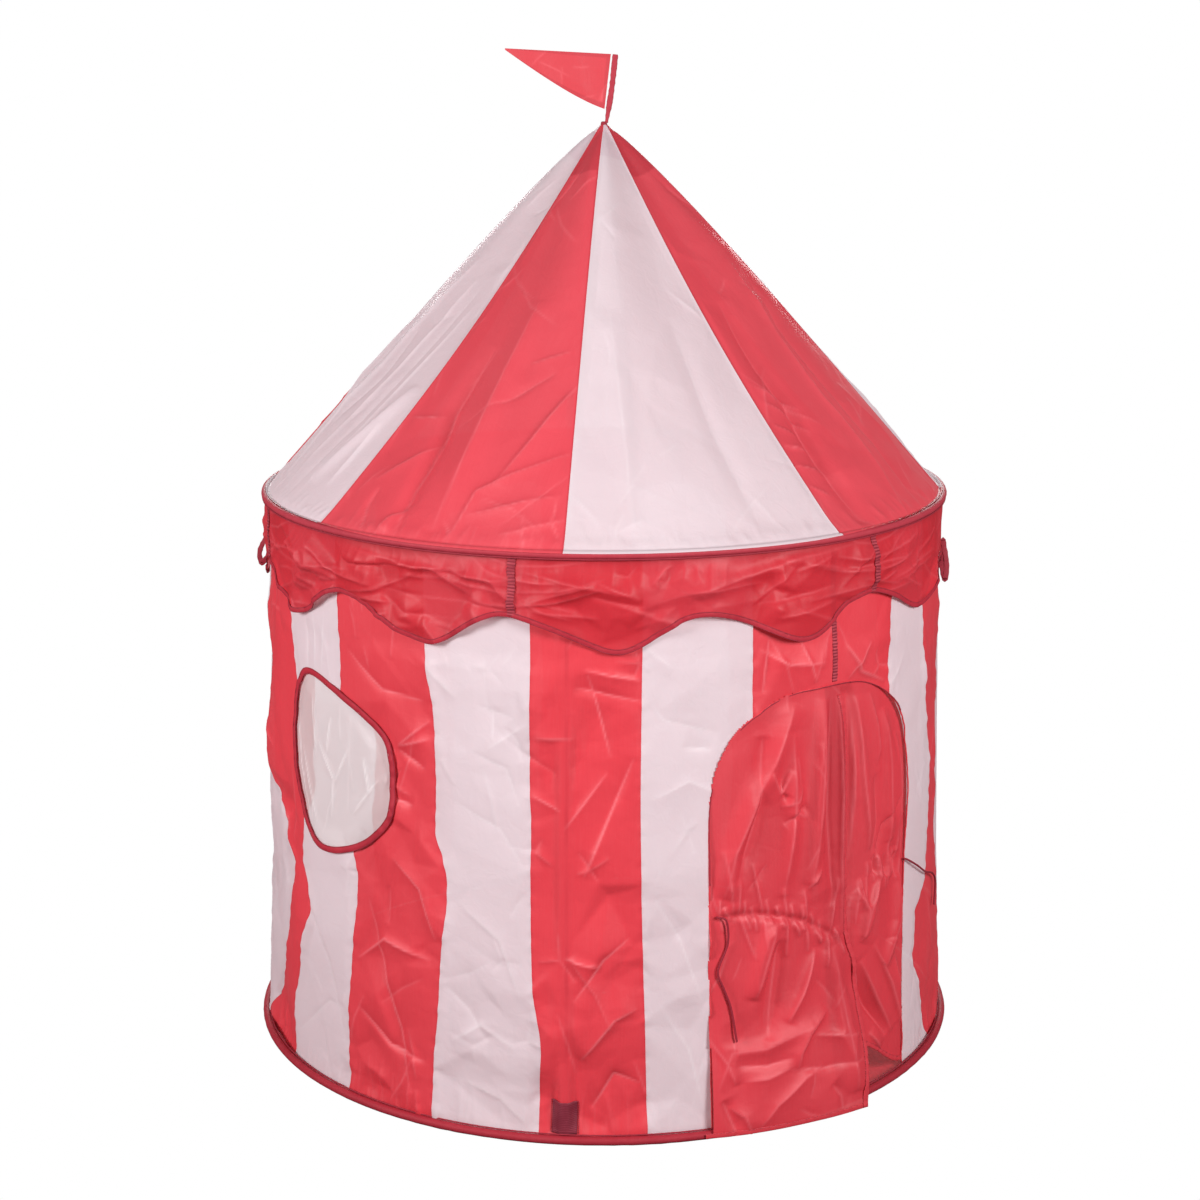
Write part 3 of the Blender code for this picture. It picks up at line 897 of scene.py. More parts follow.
@dataclass(frozen=True)
class Taffeta:
    """Polyester taffeta, plain woven and calendered: a thin cloth with a faint dry sheen.

    The weave is about 0.2 mm between threads, too fine to show, so its slubs are drawn
    1.6 mm wide. Crumples from the folded pack are some 25 mm wide, with finer ones in them.
    """

    name: str
    body: str
    shade: str
    wear_and_sheen: str
    doubled_and_shade: str
    glow: str
    translucency: float
    see_through: float
    tint: str = "FFFFFF"
    roughness: float = 0.54

    def material(self) -> bpy.types.Material:
        """Build the material.

        Returns:
            The finished material.
        """
        material, tree = start_material(self.name)
        flat = add_node(tree, "UVMap", uv_map=CLOTH_MAP)
        place = add_node(tree, "TexCoord", out="Object")
        # Colour: soft patches of two shades, then slubs, pale creases that are partly wear and partly painted
        # highlight, and second layers darkened with painted shade in places
        patches = add_node(tree, "TexNoise", {"Vector": place, "Scale": 9.0, "Detail": 3.0})
        body = add_node(tree, "Mix", {
            "Factor": patches, "A": linear(self.body), "B": linear(self.shade),
        }, data_type="RGBA")
        slub_size = (1.0 / (1.6 * MM), 1.0 / (45 * MM), 1.0)
        slub_place = add_node(tree, "VectorMath", {0: flat, 1: slub_size}, operation="MULTIPLY")
        slub = add_node(tree, "TexNoise", {"Vector": slub_place, "Scale": 1.0, "Detail": 2.0})
        streak = add_node(tree, "MapRange", {
            "Value": slub, "From Min": 0.3, "From Max": 0.7, "To Max": 0.035,
        })
        streaked = add_node(tree, "Mix", {
            "Factor": streak, "A": body, "B": linear(self.wear_and_sheen),
        }, data_type="RGBA")
        # Pale crease colour on the folds: partly wear, partly a painted highlight where ridges catch the
        # light
        wear_and_sheen = add_node(tree, "Attribute", out="Fac", attribute_name="wear_and_sheen")
        wear_and_sheen_share = add_node(tree, "Math", {0: wear_and_sheen, 1: 0.85}, operation="MULTIPLY")
        creased = add_node(tree, "Mix", {
            "Factor": wear_and_sheen_share, "A": streaked,
            "B": linear(self.wear_and_sheen),
        }, data_type="RGBA")
        # Darker where the cloth is doubled; the same mark carries painted shade at the rods, under the eave
        # hoop and where the curtains overlap
        doubled_and_shade = add_node(tree, "Attribute", out="Fac", attribute_name="doubled_and_shade")
        colour = add_node(tree, "Mix", {
            "Factor": doubled_and_shade, "A": creased,
            "B": linear(self.doubled_and_shade),
        }, data_type="RGBA")
        # Relief: cracked edges in patches, then crumples, then slubs
        crackle = add_node(tree, "TexVoronoi", {
            "Vector": place, "Scale": 34.0, "Randomness": 1.0,
        }, feature="DISTANCE_TO_EDGE")
        crackle_edge = add_node(tree, "MapRange", {"Value": crackle, "From Max": 0.09})
        crumple = add_node(tree, "TexNoise", {
            "Vector": place, "Scale": 42.0, "Detail": 3.0, "Roughness": 0.55, "Distortion": 0.8,
        })
        patch = add_node(tree, "MapRange", {"Value": patches, "From Min": 0.42, "From Max": 0.68})
        edge_bump = add_node(tree, "Math", {0: crackle_edge, 1: patch}, operation="MULTIPLY")
        first = add_node(tree, "Bump", {
            "Strength": 0.08, "Distance": 1.2 * MM, "Height": edge_bump,
        })
        second = add_node(tree, "Bump", {
            "Strength": 0.28, "Distance": 2.2 * MM, "Height": crumple,
            "Normal": first,
        })
        third = add_node(tree, "Bump", {
            "Strength": 0.10, "Distance": 0.10 * MM, "Height": slub,
            "Normal": second,
        })
        # Surface: a dry sheen, light through the cloth, and a little of what lies behind it
        gloss = add_node(tree, "MapRange", {
            "Value": patches, "To Min": self.roughness - 0.05,
            "To Max": self.roughness + 0.06,
        })
        shader = add_node(tree, "BsdfPrincipled", {
            "Base Color": colour, "Roughness": gloss,
            "IOR": 1.5, "Specular IOR Level": 0.42, "Normal": third,
        })
        through = add_node(tree, "BsdfTranslucent", {"Color": linear(self.glow), "Normal": third})
        lit = add_node(tree, "MixShader", {0: self.translucency, 1: shader, 2: through})
        gap = add_node(tree, "BsdfTransparent", {"Color": linear(self.tint)})
        surface = add_node(tree, "MixShader", {0: self.see_through, 1: lit, 2: gap})
        add_node(tree, "OutputMaterial", {"Surface": surface})
        return material


@dataclass(frozen=True)
class Tape:
    """Polyester binding tape, folded over an edge and stitched: matt, with fine cross ribs.

    Real ribs are 0.5 mm apart; they are drawn 1.6 mm apart so that they show. A gathered
    seam's tape has wider ones, where the cloth is ruched: painted highlight and shade of its folds.
    """

    name: str
    body: str
    rib: str
    rib_pitch: float = 1.6 * MM
    roughness: float = 0.62

    def material(self) -> bpy.types.Material:
        """Build the material.

        Returns:
            The finished material.
        """
        material, tree = start_material(self.name)
        flat = add_node(tree, "UVMap", uv_map=CLOTH_MAP)
        place = add_node(tree, "TexCoord", out="Object")
        # The wave texture has one wave to a unit at this scale
        unit_wave = 0.3183
        spread = add_node(tree, "VectorMath", {0: flat, 1: (0.0, 1.0 / self.rib_pitch, 0.0)},
                          operation="MULTIPLY")
        ribs = add_node(tree, "TexWave", {
            "Vector": spread, "Scale": unit_wave, "Distortion": 1.2, "Detail": 1.0,
        }, out="Fac", bands_direction="Y")
        blotch = add_node(tree, "TexNoise", {"Vector": place, "Scale": 70.0, "Detail": 3.0})
        amount = add_node(tree, "Math", {0: ribs, 1: blotch}, operation="MULTIPLY")
        colour = add_node(tree, "Mix", {
            "Factor": amount, "A": linear(self.body), "B": linear(self.rib),
        }, data_type="RGBA")
        bump = add_node(tree, "Bump", {"Strength": 0.5, "Distance": 0.4 * MM, "Height": amount})
        shader = add_node(tree, "BsdfPrincipled", {
            "Base Color": colour, "Roughness": self.roughness, "IOR": 1.5,
            "Specular IOR Level": 0.20, "Normal": bump,
        })
        add_node(tree, "OutputMaterial", {"Surface": shader})
        return material


@dataclass(frozen=True)
class Netting:
    """White polyester voile: so open that the far wall shows through it.

    Its holes are 0.4 mm, too fine to show, so it is a half clear sheet with faint threads.
    """

    name: str
    body: str
    see_through: float

    def material(self) -> bpy.types.Material:
        """Build the material.

        Returns:
            The finished material.
        """
        material, tree = start_material(self.name)
        flat = add_node(tree, "UVMap", uv_map=CLOTH_MAP)
        spread = add_node(tree, "VectorMath", {
            0: flat, 1: (1.0 / (1.8 * MM), 1.0 / (60 * MM), 1.0),
        }, operation="MULTIPLY")
        threads = add_node(tree, "TexNoise", {"Vector": spread, "Scale": 1.0, "Detail": 1.0})
        bump = add_node(tree, "Bump", {"Strength": 0.2, "Distance": 0.2 * MM, "Height": threads})
        shader = add_node(tree, "BsdfPrincipled", {
            "Base Color": linear(self.body), "Roughness": 0.7, "IOR": 1.5,
            "Sheen Weight": 0.45, "Normal": bump,
        })
        through = add_node(tree, "BsdfTranslucent", {"Color": linear(self.body)})
        lit = add_node(tree, "MixShader", {0: 0.3, 1: shader, 2: through})
        gap = add_node(tree, "BsdfTransparent")
        creases = add_node(tree, "Attribute", out="Fac", attribute_name="wear_and_sheen")
        clear = add_node(tree, "MapRange", {
            "Value": creases, "To Min": self.see_through, "To Max": 0.12,
        })
        surface = add_node(tree, "MixShader", {0: clear, 1: lit, 2: gap})
        add_node(tree, "OutputMaterial", {"Surface": surface})
        return material


@dataclass(frozen=True)
class PlainFinish:
    """A small hard or twisted part: pultruded glass fibre rod, or sewing thread."""

    name: str
    body: str
    fleck: str
    roughness: float
    fleck_size: float

    def material(self) -> bpy.types.Material:
        """Build the material.

        Returns:
            The finished material.
        """
        material, tree = start_material(self.name)
        place = add_node(tree, "TexCoord", out="Object")
        grain = add_node(tree, "TexNoise", {
            "Vector": place, "Scale": 1.0 / self.fleck_size, "Detail": 4.0,
        })
        colour = add_node(tree, "Mix", {
            "Factor": grain, "A": linear(self.body), "B": linear(self.fleck),
        }, data_type="RGBA")
        bump = add_node(tree, "Bump", {"Strength": 0.2, "Distance": 0.2 * MM, "Height": grain})
        shader = add_node(tree, "BsdfPrincipled", {
            "Base Color": colour, "Roughness": self.roughness, "IOR": 1.5,
            "Normal": bump,
        })
        add_node(tree, "OutputMaterial", {"Surface": shader})
        return material


class Finishes:
    """All finishes of the tent, each built once."""

    def __init__(self) -> None:
        """Build the materials."""
        # Even bright red, pale on its creases with wear and painted highlight, lifted a little by the light
        # behind it
        self.red = Taffeta("red polyester taffeta", "D93B46", "CF323E", "F0848C", "9C1828", "EA2A34",
                           translucency=0.16, see_through=0.02).material()
        # White with a pink cast, painted light bounced from the red inside, and more open to light than the
        # red
        self.white = Taffeta("white polyester taffeta", "E9DEE3", "E3D6DC", "F9F4F7", "D6C2CC",
                             "F6E9ED", translucency=0.36, see_through=0.06).material()
        # One free layer: the wall's stripes show through it as lighter and darker bands. Its red is darker
        # than the wall's, painted shade under the eave.
        self.skirt = Taffeta("red taffeta of the valance", "CA2F3B", "BC2633", "EA6A74", "8A1624",
                             "E8242E", translucency=0.14, see_through=0.24, tint="FFA0AA").material()
        # A lit copy of the wall's red, a touch greyer: painted light, as the light falls flat on the slope
        self.lit_roof_red = Taffeta("red taffeta of the roof", "D64652", "CD3D49", "F0848C", "9C1828",
                                "EA2A34", translucency=0.16, see_through=0.02).material()
        # Deeper red: painted shade, for the inset curtains with the dark inside of the tent behind them
        self.curtain = Taffeta("red taffeta of the door curtains", "CF3742", "C32E3A", "EC7F87",
                               "8A1624", "E0242E", translucency=0.12, see_through=0.02).material()
        # Small and lit from both sides, so a darker copy of the red, painted shade, reads as the same red
        self.flag = Taffeta("red taffeta of the pennant", "C43540", "BA2D38", "E87078", "8A1624",
                            "E8242E", translucency=0.12, see_through=0.02).material()
        # Dark matt lines that outline every edge, with ribs across them
        self.tape = Tape("dark red polyester binding", "86222F", "A03542").material()
        # The same binding where it is wider and takes more light
        self.binding = Tape("red cloth binding", "9C202F", "B4343F").material()
        # Sleeves of the hoops: the upper one greyed by the roof's shade, the lower one deeper
        self.sleeve = Tape("red hoop sleeve", "9C2A38", "B6434E").material()
        self.ground_sleeve = Tape("deep red ground sleeve", "8E1B29", "AA3540").material()
        # Ruched seams: light and dark bars, wide enough to count, painted highlight and shade of the gathers
        self.gather = Tape("ruched seam tape", "741A28", "CC5660", rib_pitch=4.4 * MM).material()
        # The darkest cloth of the tent, coarse and dull
        self.webbing = Tape("dark red pocket webbing", "661626", "94404E", rib_pitch=2.6 * MM).material()
        # A pale veil with whiter creases, the far wall faint behind it
        self.net = Netting("white voile net", "FFFCFD", 0.48).material()
        # Fine dark dots along the hems
        self.thread = PlainFinish("dark red polyester thread", "7E2333", "9C3A48", 0.6, 1.5 * MM).material()
        # Smooth pale grey, seen only as a shadow through the cloth
        self.rod = PlainFinish("pultruded glass fibre rod", "B9B7B0", "CFCDC6", 0.38, 3 * MM).material()

    def cloth(self, dye: Dye) -> tuple[bpy.types.Material, Slot]:
        """Taffeta and record slot of a colour."""
        return (self.red, Slot.RED) if dye is Dye.RED else (self.white, Slot.WHITE)


# Wall


@dataclass
class Opening:
    """A hole in the wall, as a closed outline round its own centre."""

    angle: float
    height: float
    outline: Points

    def place(self, across: Points, up: Points) -> tuple[Points, Points]:
        """Angle and height of points given from the opening's centre."""
        height = self.height + up
        radius = FORM.wall_radius(height)
        return self.angle + np.degrees(across / radius), height

    def reach(self, angle: Points, height: Points) -> Points:
        """Signed distance from the outline, below 0 inside.

        Args:
            angle: degrees round the tent.
            height: height above the floor.

        Returns:
            Distances, true close to the outline.
        """
        across = np.radians(angle - self.angle) * FORM.wall_radius(height)
        spots = np.stack([across, height - self.height], axis=-1)
        loop = np.vstack([self.outline, self.outline[:1]])
        nearest = np.full(spots.shape[:-1], np.inf)
        inside = np.zeros(spots.shape[:-1], bool)
        for start, end in zip(loop[:-1], loop[1:]):
            leg = end - start
            away = spots - start
            share = np.clip((away @ leg) / (leg @ leg), 0.0, 1.0)
            gap = away - share[..., None] * leg
            nearest = np.minimum(nearest, np.hypot(gap[..., 0], gap[..., 1]))
            crosses = (start[1] > spots[..., 1]) != (end[1] > spots[..., 1])
            rise = end[1] - start[1] if abs(end[1] - start[1]) > 1e-12 else 1e-12
            beyond = start[0] + (spots[..., 1] - start[1]) * leg[0] / rise
            inside ^= crosses & (spots[..., 0] < beyond)
        return np.where(inside, -nearest, nearest)


@dataclass
class Wall:
    """Sewn stripes of the wall, with their folds."""

    finishes: Finishes
    stripes: str = "RWRWRWRRWR"
    back_stripes: int = 11
    front_start: float = -74.0
    front_end: float = 80.0
    door_angle: float = 36.9
    window_place: tuple[float, float] = (-46.0, 0.489)
    skirt_foot: float = 0.655
    pucker_pitch: float = 0.016
    map_radius: float = 0.508
    pole_touch: float = 2.6 * MM
    folds: FoldMap = field(init=False)
    openings: list[Opening] = field(init=False)

    def __post_init__(self) -> None:
        """Paint the folds and cut the openings' outlines."""
        self.openings = [self.door_opening(), self.window_opening()]
        self.folds = self.paint()

    def seam_routes(self) -> list[list[tuple[float, float]]]:
        """Lines of the front seams, from the left, as (height in mm, angle) pairs.

        Returns:
            A list of routes from the floor to the eave.
        """
        return [
            [(0, -79.5), (83, -71.7), (168, -64.5), (230, -62), (305, -60.9),
             (344, -64.6), (397, -69.4), (430, -73.4), (486, -76), (560, -80), (820, -80)],
            [(0, -61.9), (73, -61.8), (150, -58.5), (203, -56.8), (256, -54.5),
             (295, -56), (318, -58.3), (382, -57.5), (500, -58.5), (591, -61),
             (630, -62.1), (700, -63.4), (820, -63.8)],
            [(0, -44.6), (77, -44.5), (209, -44), (327, -43), (367, -43.7),
             (500, -45.5), (600, -47), (820, -47.4)],
            [(0, -27.2), (97, -26.9), (154, -26.2), (257, -25.5), (320, -24.7),
             (360, -24.7), (389, -25.4), (425, -26.8), (505, -26.5), (609, -27.1),
             (647, -28), (700, -28.6), (820, -28.8)],
            [(0, -10), (61, -10), (132, -9.5), (214, -10.8), (260, -11.1),
             (373, -11.3), (451, -11.2), (507, -11.4), (647, -11.1), (820, -11.3)],
            [(0, 6.6), (200, 6.1), (377, 5.6), (496, 5.5), (621, 5.7), (820, 5.9)],
            [(0, 23.2), (820, 23.2)],
            [(0, 38.3), (820, 38.2)],
            [(0, 51.8), (580, 51.8), (670, 52.3), (711, 53), (820, 53.4)],
            [(0, 70.6), (21, 69.2), (66, 67.8), (114, 65.4), (159, 62.6),
             (185, 63.7), (221, 63.6), (240, 66.2), (262, 69.6), (355, 70.1),
             (452, 69.8), (527, 67.1), (597, 65.5), (690, 64.9), (820, 64.6)],
            [(0, 80), (820, 80)],
        ]

    def seams(self, height: Points) -> list[Points]:
        """Angle of every seam at a row of heights, from the leftmost right round to itself.

        Args:
            height: heights above the floor.

        Returns:
            One row of angles for each seam.
        """
        lines = [eased_line([(place / MM_PER_METRE, angle) for place, angle in route], height)
                 for route in self.seam_routes()]
        last = lines[0] + FULL_TURN
        whole = FULL_TURN + self.front_start - self.front_end
        for step in range(1, self.back_stripes):
            straight = self.front_end + whole * step / self.back_stripes
            wander = 0.5 * np.sin(9.0 * height + 2.1 * step) + 0.25 * np.sin(31.0 * height + step)
            lines.append(straight + wander)
        return [*lines, last]

    def dyes(self) -> list[Dye]:
        """Colour of each stripe, front then back."""
        back = [Dye.WHITE if step % 2 == 0 else Dye.RED for step in range(self.back_stripes)]
        return [Dye(letter) for letter in self.stripes] + back

    def door_opening(self) -> Opening:
        """Arch of the door: a squared ellipse on straight jambs.

        Returns:
            The door's opening.
        """
        half, sill, spring, top, squareness = 0.1845, -0.05, 0.430, 0.616, 2.5
        turn = np.linspace(math.pi, 0.0, 48)
        across = np.sign(np.cos(turn)) * np.abs(np.cos(turn)) ** (2.0 / squareness) * half
        up = spring + (top - spring) * np.abs(np.sin(turn)) ** (2.0 / squareness)
        arch = np.stack([across, up], axis=-1)
        feet = np.array([(half, sill), (-half, sill)])
        return Opening(self.door_angle, 0.0, np.vstack([arch, feet]))

    def window_opening(self) -> Opening:
        """Leaning oval of the window, pinched at its right side. Its points are in mm.

        Returns:
            The window's opening.
        """
        shape = np.array([
            (-119, 88), (-98, 111), (-58, 111), (-8, 98), (28, 85),
            (61, 66), (84, 50), (95, 24), (96.5, -4), (98.5, -36),
            (92, -58), (70, -84), (30, -111), (-14, -124.5),
            (-56, -122.5), (-85, -102), (-106, -68), (-117, -24),
            (-123.5, 18), (-126, 56),
        ]) / MM_PER_METRE
        closed = np.vstack([shape, shape[:1]])
        return Opening(*self.window_place, curve_through(closed, 72)[:-1])

    def strong_creases(self) -> list[list[tuple[float, float]]]:
        """Lines of the front's strongest creases, as (angle, height in mm) pairs.

        Returns:
            A list of short routes.
        """
        return [
            [(-20.5, 545), (-15, 525), (-13, 475)],
            [(-11.5, 590), (-18, 550)],
            [(-17, 610), (-17, 565)],
            [(-28, 655), (-23, 615)],
            [(-20, 610), (-13.5, 595)],
            [(-15.5, 580), (-13.5, 570), (-12.5, 535)],
            [(-24, 475), (-16, 440), (-12, 385)],
            [(-22.5, 330), (-16, 285), (-12.5, 200)],
            [(-25, 210), (-21, 180), (-18, 135)],
            [(-22.5, 75), (-16, 55), (-11, 15)],
            [(-24, 130), (-19, 160), (-13.5, 130)],
            [(-6, 445), (0.5, 525)],
            [(4.5, 545), (2, 490), (-1.5, 415)],
            [(2, 490), (-3, 380)],
            [(-3, 665), (5.5, 650)],
            [(-4.5, 640), (6, 620)],
            [(-10.5, 570), (-4.5, 570)],
            [(-11, 490), (-6.5, 470)],
            [(-2.5, 660), (-1, 615), (1, 545)],
            [(-6, 265), (-0.5, 255)],
            [(-4.5, 205), (0, 265), (4, 295)],
            [(-3.5, 120), (1.5, 180), (5, 195)],
            [(-2, 45), (1.5, 100), (5.5, 85)],
            [(7, 620), (9, 595), (18, 570)],
            [(12, 555), (17, 550)],
            [(6, 695), (10.5, 665)],
            [(7, 485), (13, 510), (19.5, 480)],
            [(7.5, 350), (11.5, 290), (15, 200)],
            [(8.5, 195), (13, 130), (15.5, 35)],
            [(-34, 535), (-27.5, 580)],
            [(-34, 535), (-27.5, 555)],
            [(-34, 530), (-28.5, 510)],
            [(-35, 460), (-31, 455)],
            [(-40.5, 305), (-33.5, 125), (-31, 40)],
            [(-42, 145), (-35.5, 100), (-28.5, 90)],
            [(-35, 375), (-29.5, 340), (-26.5, 270)],
            [(-45, 655), (-37, 610), (-28.5, 605)],
            [(-43, 210), (-36.5, 255), (-27.5, 240)],
            [(-69.5, 380), (-63.5, 350)],
            [(-57.5, 690), (-56.5, 605)],
            [(-54.5, 695), (-54, 610)],
            [(-51, 700), (-52, 610)],
            [(-55.5, 270), (-49.5, 190), (-45.5, 80)],
            [(-60, 50), (-49.5, 130), (-44.5, 130)],
            [(24.5, 680), (29.5, 655), (36.5, 650)],
            [(26, 695), (25, 620)],
            [(31.5, 690), (34.5, 625)],
            [(40.5, 675), (44.5, 625), (51, 600)],
            [(47, 665), (41.5, 620)],
        ]

    def paint(self) -> FoldMap:
        """Paint the wall's folds on one map that runs right round the tent.

        Returns:
            The painted map.
        """
        random = np.random.default_rng(11)
        around = math.tau * self.map_radius
        folds = FoldMap(-around / 2.0, 0.0, around, FORM.wall_head, wraps=True)
        # Broad facets of the folded pack, then smaller ones in patches
        folds.facets(0.110, 5.5 * MM, random, 1.5)
        folds.facets(0.055, 4 * MM, random, 1.3, 0.35 + 0.65 * folds.patches(0.18, random))
        folds.waves([(9, 0.3, 0.1, 1.8 * MM), (14, -0.6, 0.4, 1.4 * MM), (23, 0.8, 0.7, 0.9 * MM)])
        folds.soften(1)
        folds.facets(0.028, 2 * MM, random, 1.2, folds.patches(0.12, random) ** 2)
        folds.soften(1)
        # Creases of the photograph, then others of their kind at random
        for route in self.strong_creases():
            line = [(math.radians(angle) * self.map_radius, height / MM_PER_METRE) for angle, height in route]
            rise = random.uniform(3.0, 5.0) * MM * random.choice((-1.0, 1.0, 1.0))
            width = random.uniform(7.0, 13.0) * MM
            folds.fold(line, rise, width, random.uniform(0.3, 0.7) * random.choice((-1, 1)), 0.7)
        folds.scatter(240, (0.02, 0.12), (1.2 * MM, 3.4 * MM), (3.5 * MM, 9 * MM), random, 0.25)
        for _ in range(44):
            centre = (folds.left + random.uniform(0.0, around), random.uniform(0.04, 0.68))
            folds.star(centre, int(random.integers(3, 6)), 0.042, 2.8 * MM, random)
        self.gather(folds, random)
        return folds

    def gather(self, folds: FoldMap, random: Random) -> None:
        """Pucker the wall where it is sewn to the ground hoop.

        Args:
            folds: the wall's map.
            random: source of the puckers' places and forms.
        """
        for step in range(int(folds.width / self.pucker_pitch)):
            x = folds.left + (step + random.uniform(-0.35, 0.35)) * self.pucker_pitch
            rise = random.uniform(0.02, 0.075)
            lean = random.uniform(-0.016, 0.016)
            folds.fold([(x, -0.012), (x + lean, rise)], random.uniform(1.0, 3.2) * MM, 3.5 * MM, 0.0, 0.1)

    def off_rod(self, angle: Points) -> Points:
        """Distance round the wall from the nearest rod."""
        turn = FULL_TURN / FORM.poles
        aside = (angle - FORM.pole_angle + turn / 2.0) % turn - turn / 2.0
        return np.abs(np.radians(aside)) * self.map_radius

    def offset(self, angle: Points, height: Points) -> tuple[Points, Points]:
        """Folds of the wall at a place.

        Args:
            angle: degrees round the tent.
            height: height above the floor.

        Returns:
            Metres out of the plain wall, and pale crease marks from 0 to 1, partly wear and partly painted
            highlight.
        """
        out, wear_and_sheen = self.folds.read(np.radians(angle) * self.map_radius, height)
        # Taut beside the door, loose above the floor, held close at the hoop and under the skirt
        around = from_front(angle)
        beside_door = smooth((around - 50.0) / 8.0) * smooth((100.0 - around) / 10.0)
        under_skirt = smooth((height - self.skirt_foot) / 0.03)
        clear_of_floor = smooth((height - 0.20) / 0.25)
        clear_of_hoop = smooth(height / 0.022)
        near_eave = smooth((height - 0.76) / 0.04)
        out = out * mix(1.0, 0.55, beside_door)
        out = out * mix(1.25, 1.0, clear_of_floor)
        out = out * mix(0.35, 1.0, clear_of_hoop) * mix(1.0, 0.45, under_skirt)
        out = out - 1.2 * MM * under_skirt * (1.0 - near_eave)
        # A rod behind the cloth keeps it from sinking in
        touch = 1.0 - smooth((self.off_rod(angle) - 4 * MM) / (12 * MM))
        held = np.maximum(out, 0.0) * 0.5 + 0.3 * MM
        free = smooth((FORM.wall_head - height) / 0.05)
        return mix(out, held, touch) * mix(0.1, 1.0, free), wear_and_sheen

    def stripe(self, index: int, dye: Dye) -> None:
        """Make one stripe between its two seams.

        Args:
            index: its number, from 0.
            dye: its colour.
        """
        is_front = index < len(self.stripes)
        cell = FRONT_CELL if is_front else BACK_CELL
        rows = round((FORM.wall_head - FORM.wall_foot) / cell)
        height = np.linspace(FORM.wall_foot, FORM.wall_head, rows + 1)
        seams = self.seams(height)
        start, end = seams[index], seams[index + 1]
        span = float(np.max(end - start))
        columns = max(6, round(np.radians(span) * self.map_radius / cell))
        share = np.linspace(0.0, 1.0, columns + 1)[None, :]
        angle = mix(start[:, None], end[:, None], share)
        height = np.broadcast_to(height[:, None], angle.shape).copy()
        keep = np.ones((rows, columns), bool)
        for opening in self.openings:
            angle, height, keep = self.cut(opening, angle, height, keep, cell)
        out, wear_and_sheen = self.offset(angle, height)
        radius = FORM.wall_radius(height)
        flat = np.stack([np.radians(angle) * radius, height], axis=-1)
        # Folds are shallower in the white cloth, and the thread puckers both seams
        seam_gap = np.minimum(angle - start[:, None], end[:, None] - angle)
        seam_gap = np.radians(np.abs(seam_gap)) * radius
        if dye is Dye.WHITE:
            out = out * mix(1.0, 0.46, smooth(seam_gap / 0.02))
        pucker = np.sin(math.tau * height / 0.021) + np.sin(math.tau * height / 0.034 + 1.0)
        out = out + 0.35 * MM * pucker * np.exp(-seam_gap / (5 * MM)) * smooth(height / 0.02)
        # Two layers at a seam show darker, and a rod behind gets a painted shadow band
        doubled_and_shade = 0.22 * np.exp(-(seam_gap / (2.2 * MM)) ** 2)
        doubled_and_shade = np.maximum(doubled_and_shade, self.rod_shadow(angle, height))
        points = round_the_tent(radius + out, angle, height)
        cloth = Cloth(points, flat, {"wear_and_sheen": wear_and_sheen, "doubled_and_shade": doubled_and_shade}, keep)
        material, slot = self.finishes.cloth(dye)
        number = f"{index + 1:02d}"
        piece = cloth.build(f"cloth_wall_stripe_{number}", material)
        settle(piece, slot, f"wall_stripe_{number}")
        declare_sheet(cloth)

    def rod_shadow(self, angle: Points, height: Points) -> Points:
        """Painted shadow: a darker band where a rod presses on the cloth from behind."""
        broken = 0.55 + 0.45 * np.sin(41.0 * height + 1.3) * np.sin(17.0 * height + 0.4)
        return 0.30 * broken * np.exp(-(self.off_rod(angle - 0.4) / self.pole_touch) ** 4)

    def cut(self, opening: Opening, angle: Points, height: Points, keep: Points,
            cell: float) -> tuple[Points, Points, Points]:
        """Cut an opening out of a stripe, with its edge on the outline.

        Args:
            opening: the door or the window.
            angle: angles of the stripe's points.
            height: heights of the stripe's points.
            keep: faces that are kept so far.
            cell: size of a face.

        Returns:
            The moved angles and heights, and the faces that are kept.
        """
        reach = opening.reach(angle, height)
        if reach.min() > cell:
            return angle, height, keep
        step = 0.2 * MM
        turn = np.degrees(step / FORM.wall_radius(height))
        slope_over = (opening.reach(angle + turn, height) - reach) / step
        slope_up = (opening.reach(angle, height + step) - reach) / step
        # Points close to the outline move onto it, along its own slope
        near = np.abs(reach) < 0.75 * cell
        moved = np.where(near, reach, 0.0)
        angle = angle - np.degrees(moved * slope_over / FORM.wall_radius(height))
        height = np.clip(height - moved * slope_up, FORM.wall_foot, FORM.wall_head)
        middles = [(grid[:-1, :-1] + grid[1:, 1:] + grid[:-1, 1:] + grid[1:, :-1]) / 4.0
                   for grid in (angle, height)]
        return angle, height, keep & (opening.reach(*middles) > 0.0)

    def skin(self, angle: Points, height: Points, above: float = 0.0) -> Points:
        """Points on the wall's cloth, folds included, at a distance above it."""
        out, _ = self.offset(angle, height)
        return round_the_tent(FORM.wall_radius(height) + out + above, angle, height)

    def build(self) -> None:
        """Make every stripe."""
        for index, dye in enumerate(self.dyes()):
            self.stripe(index, dye)


# Hoops


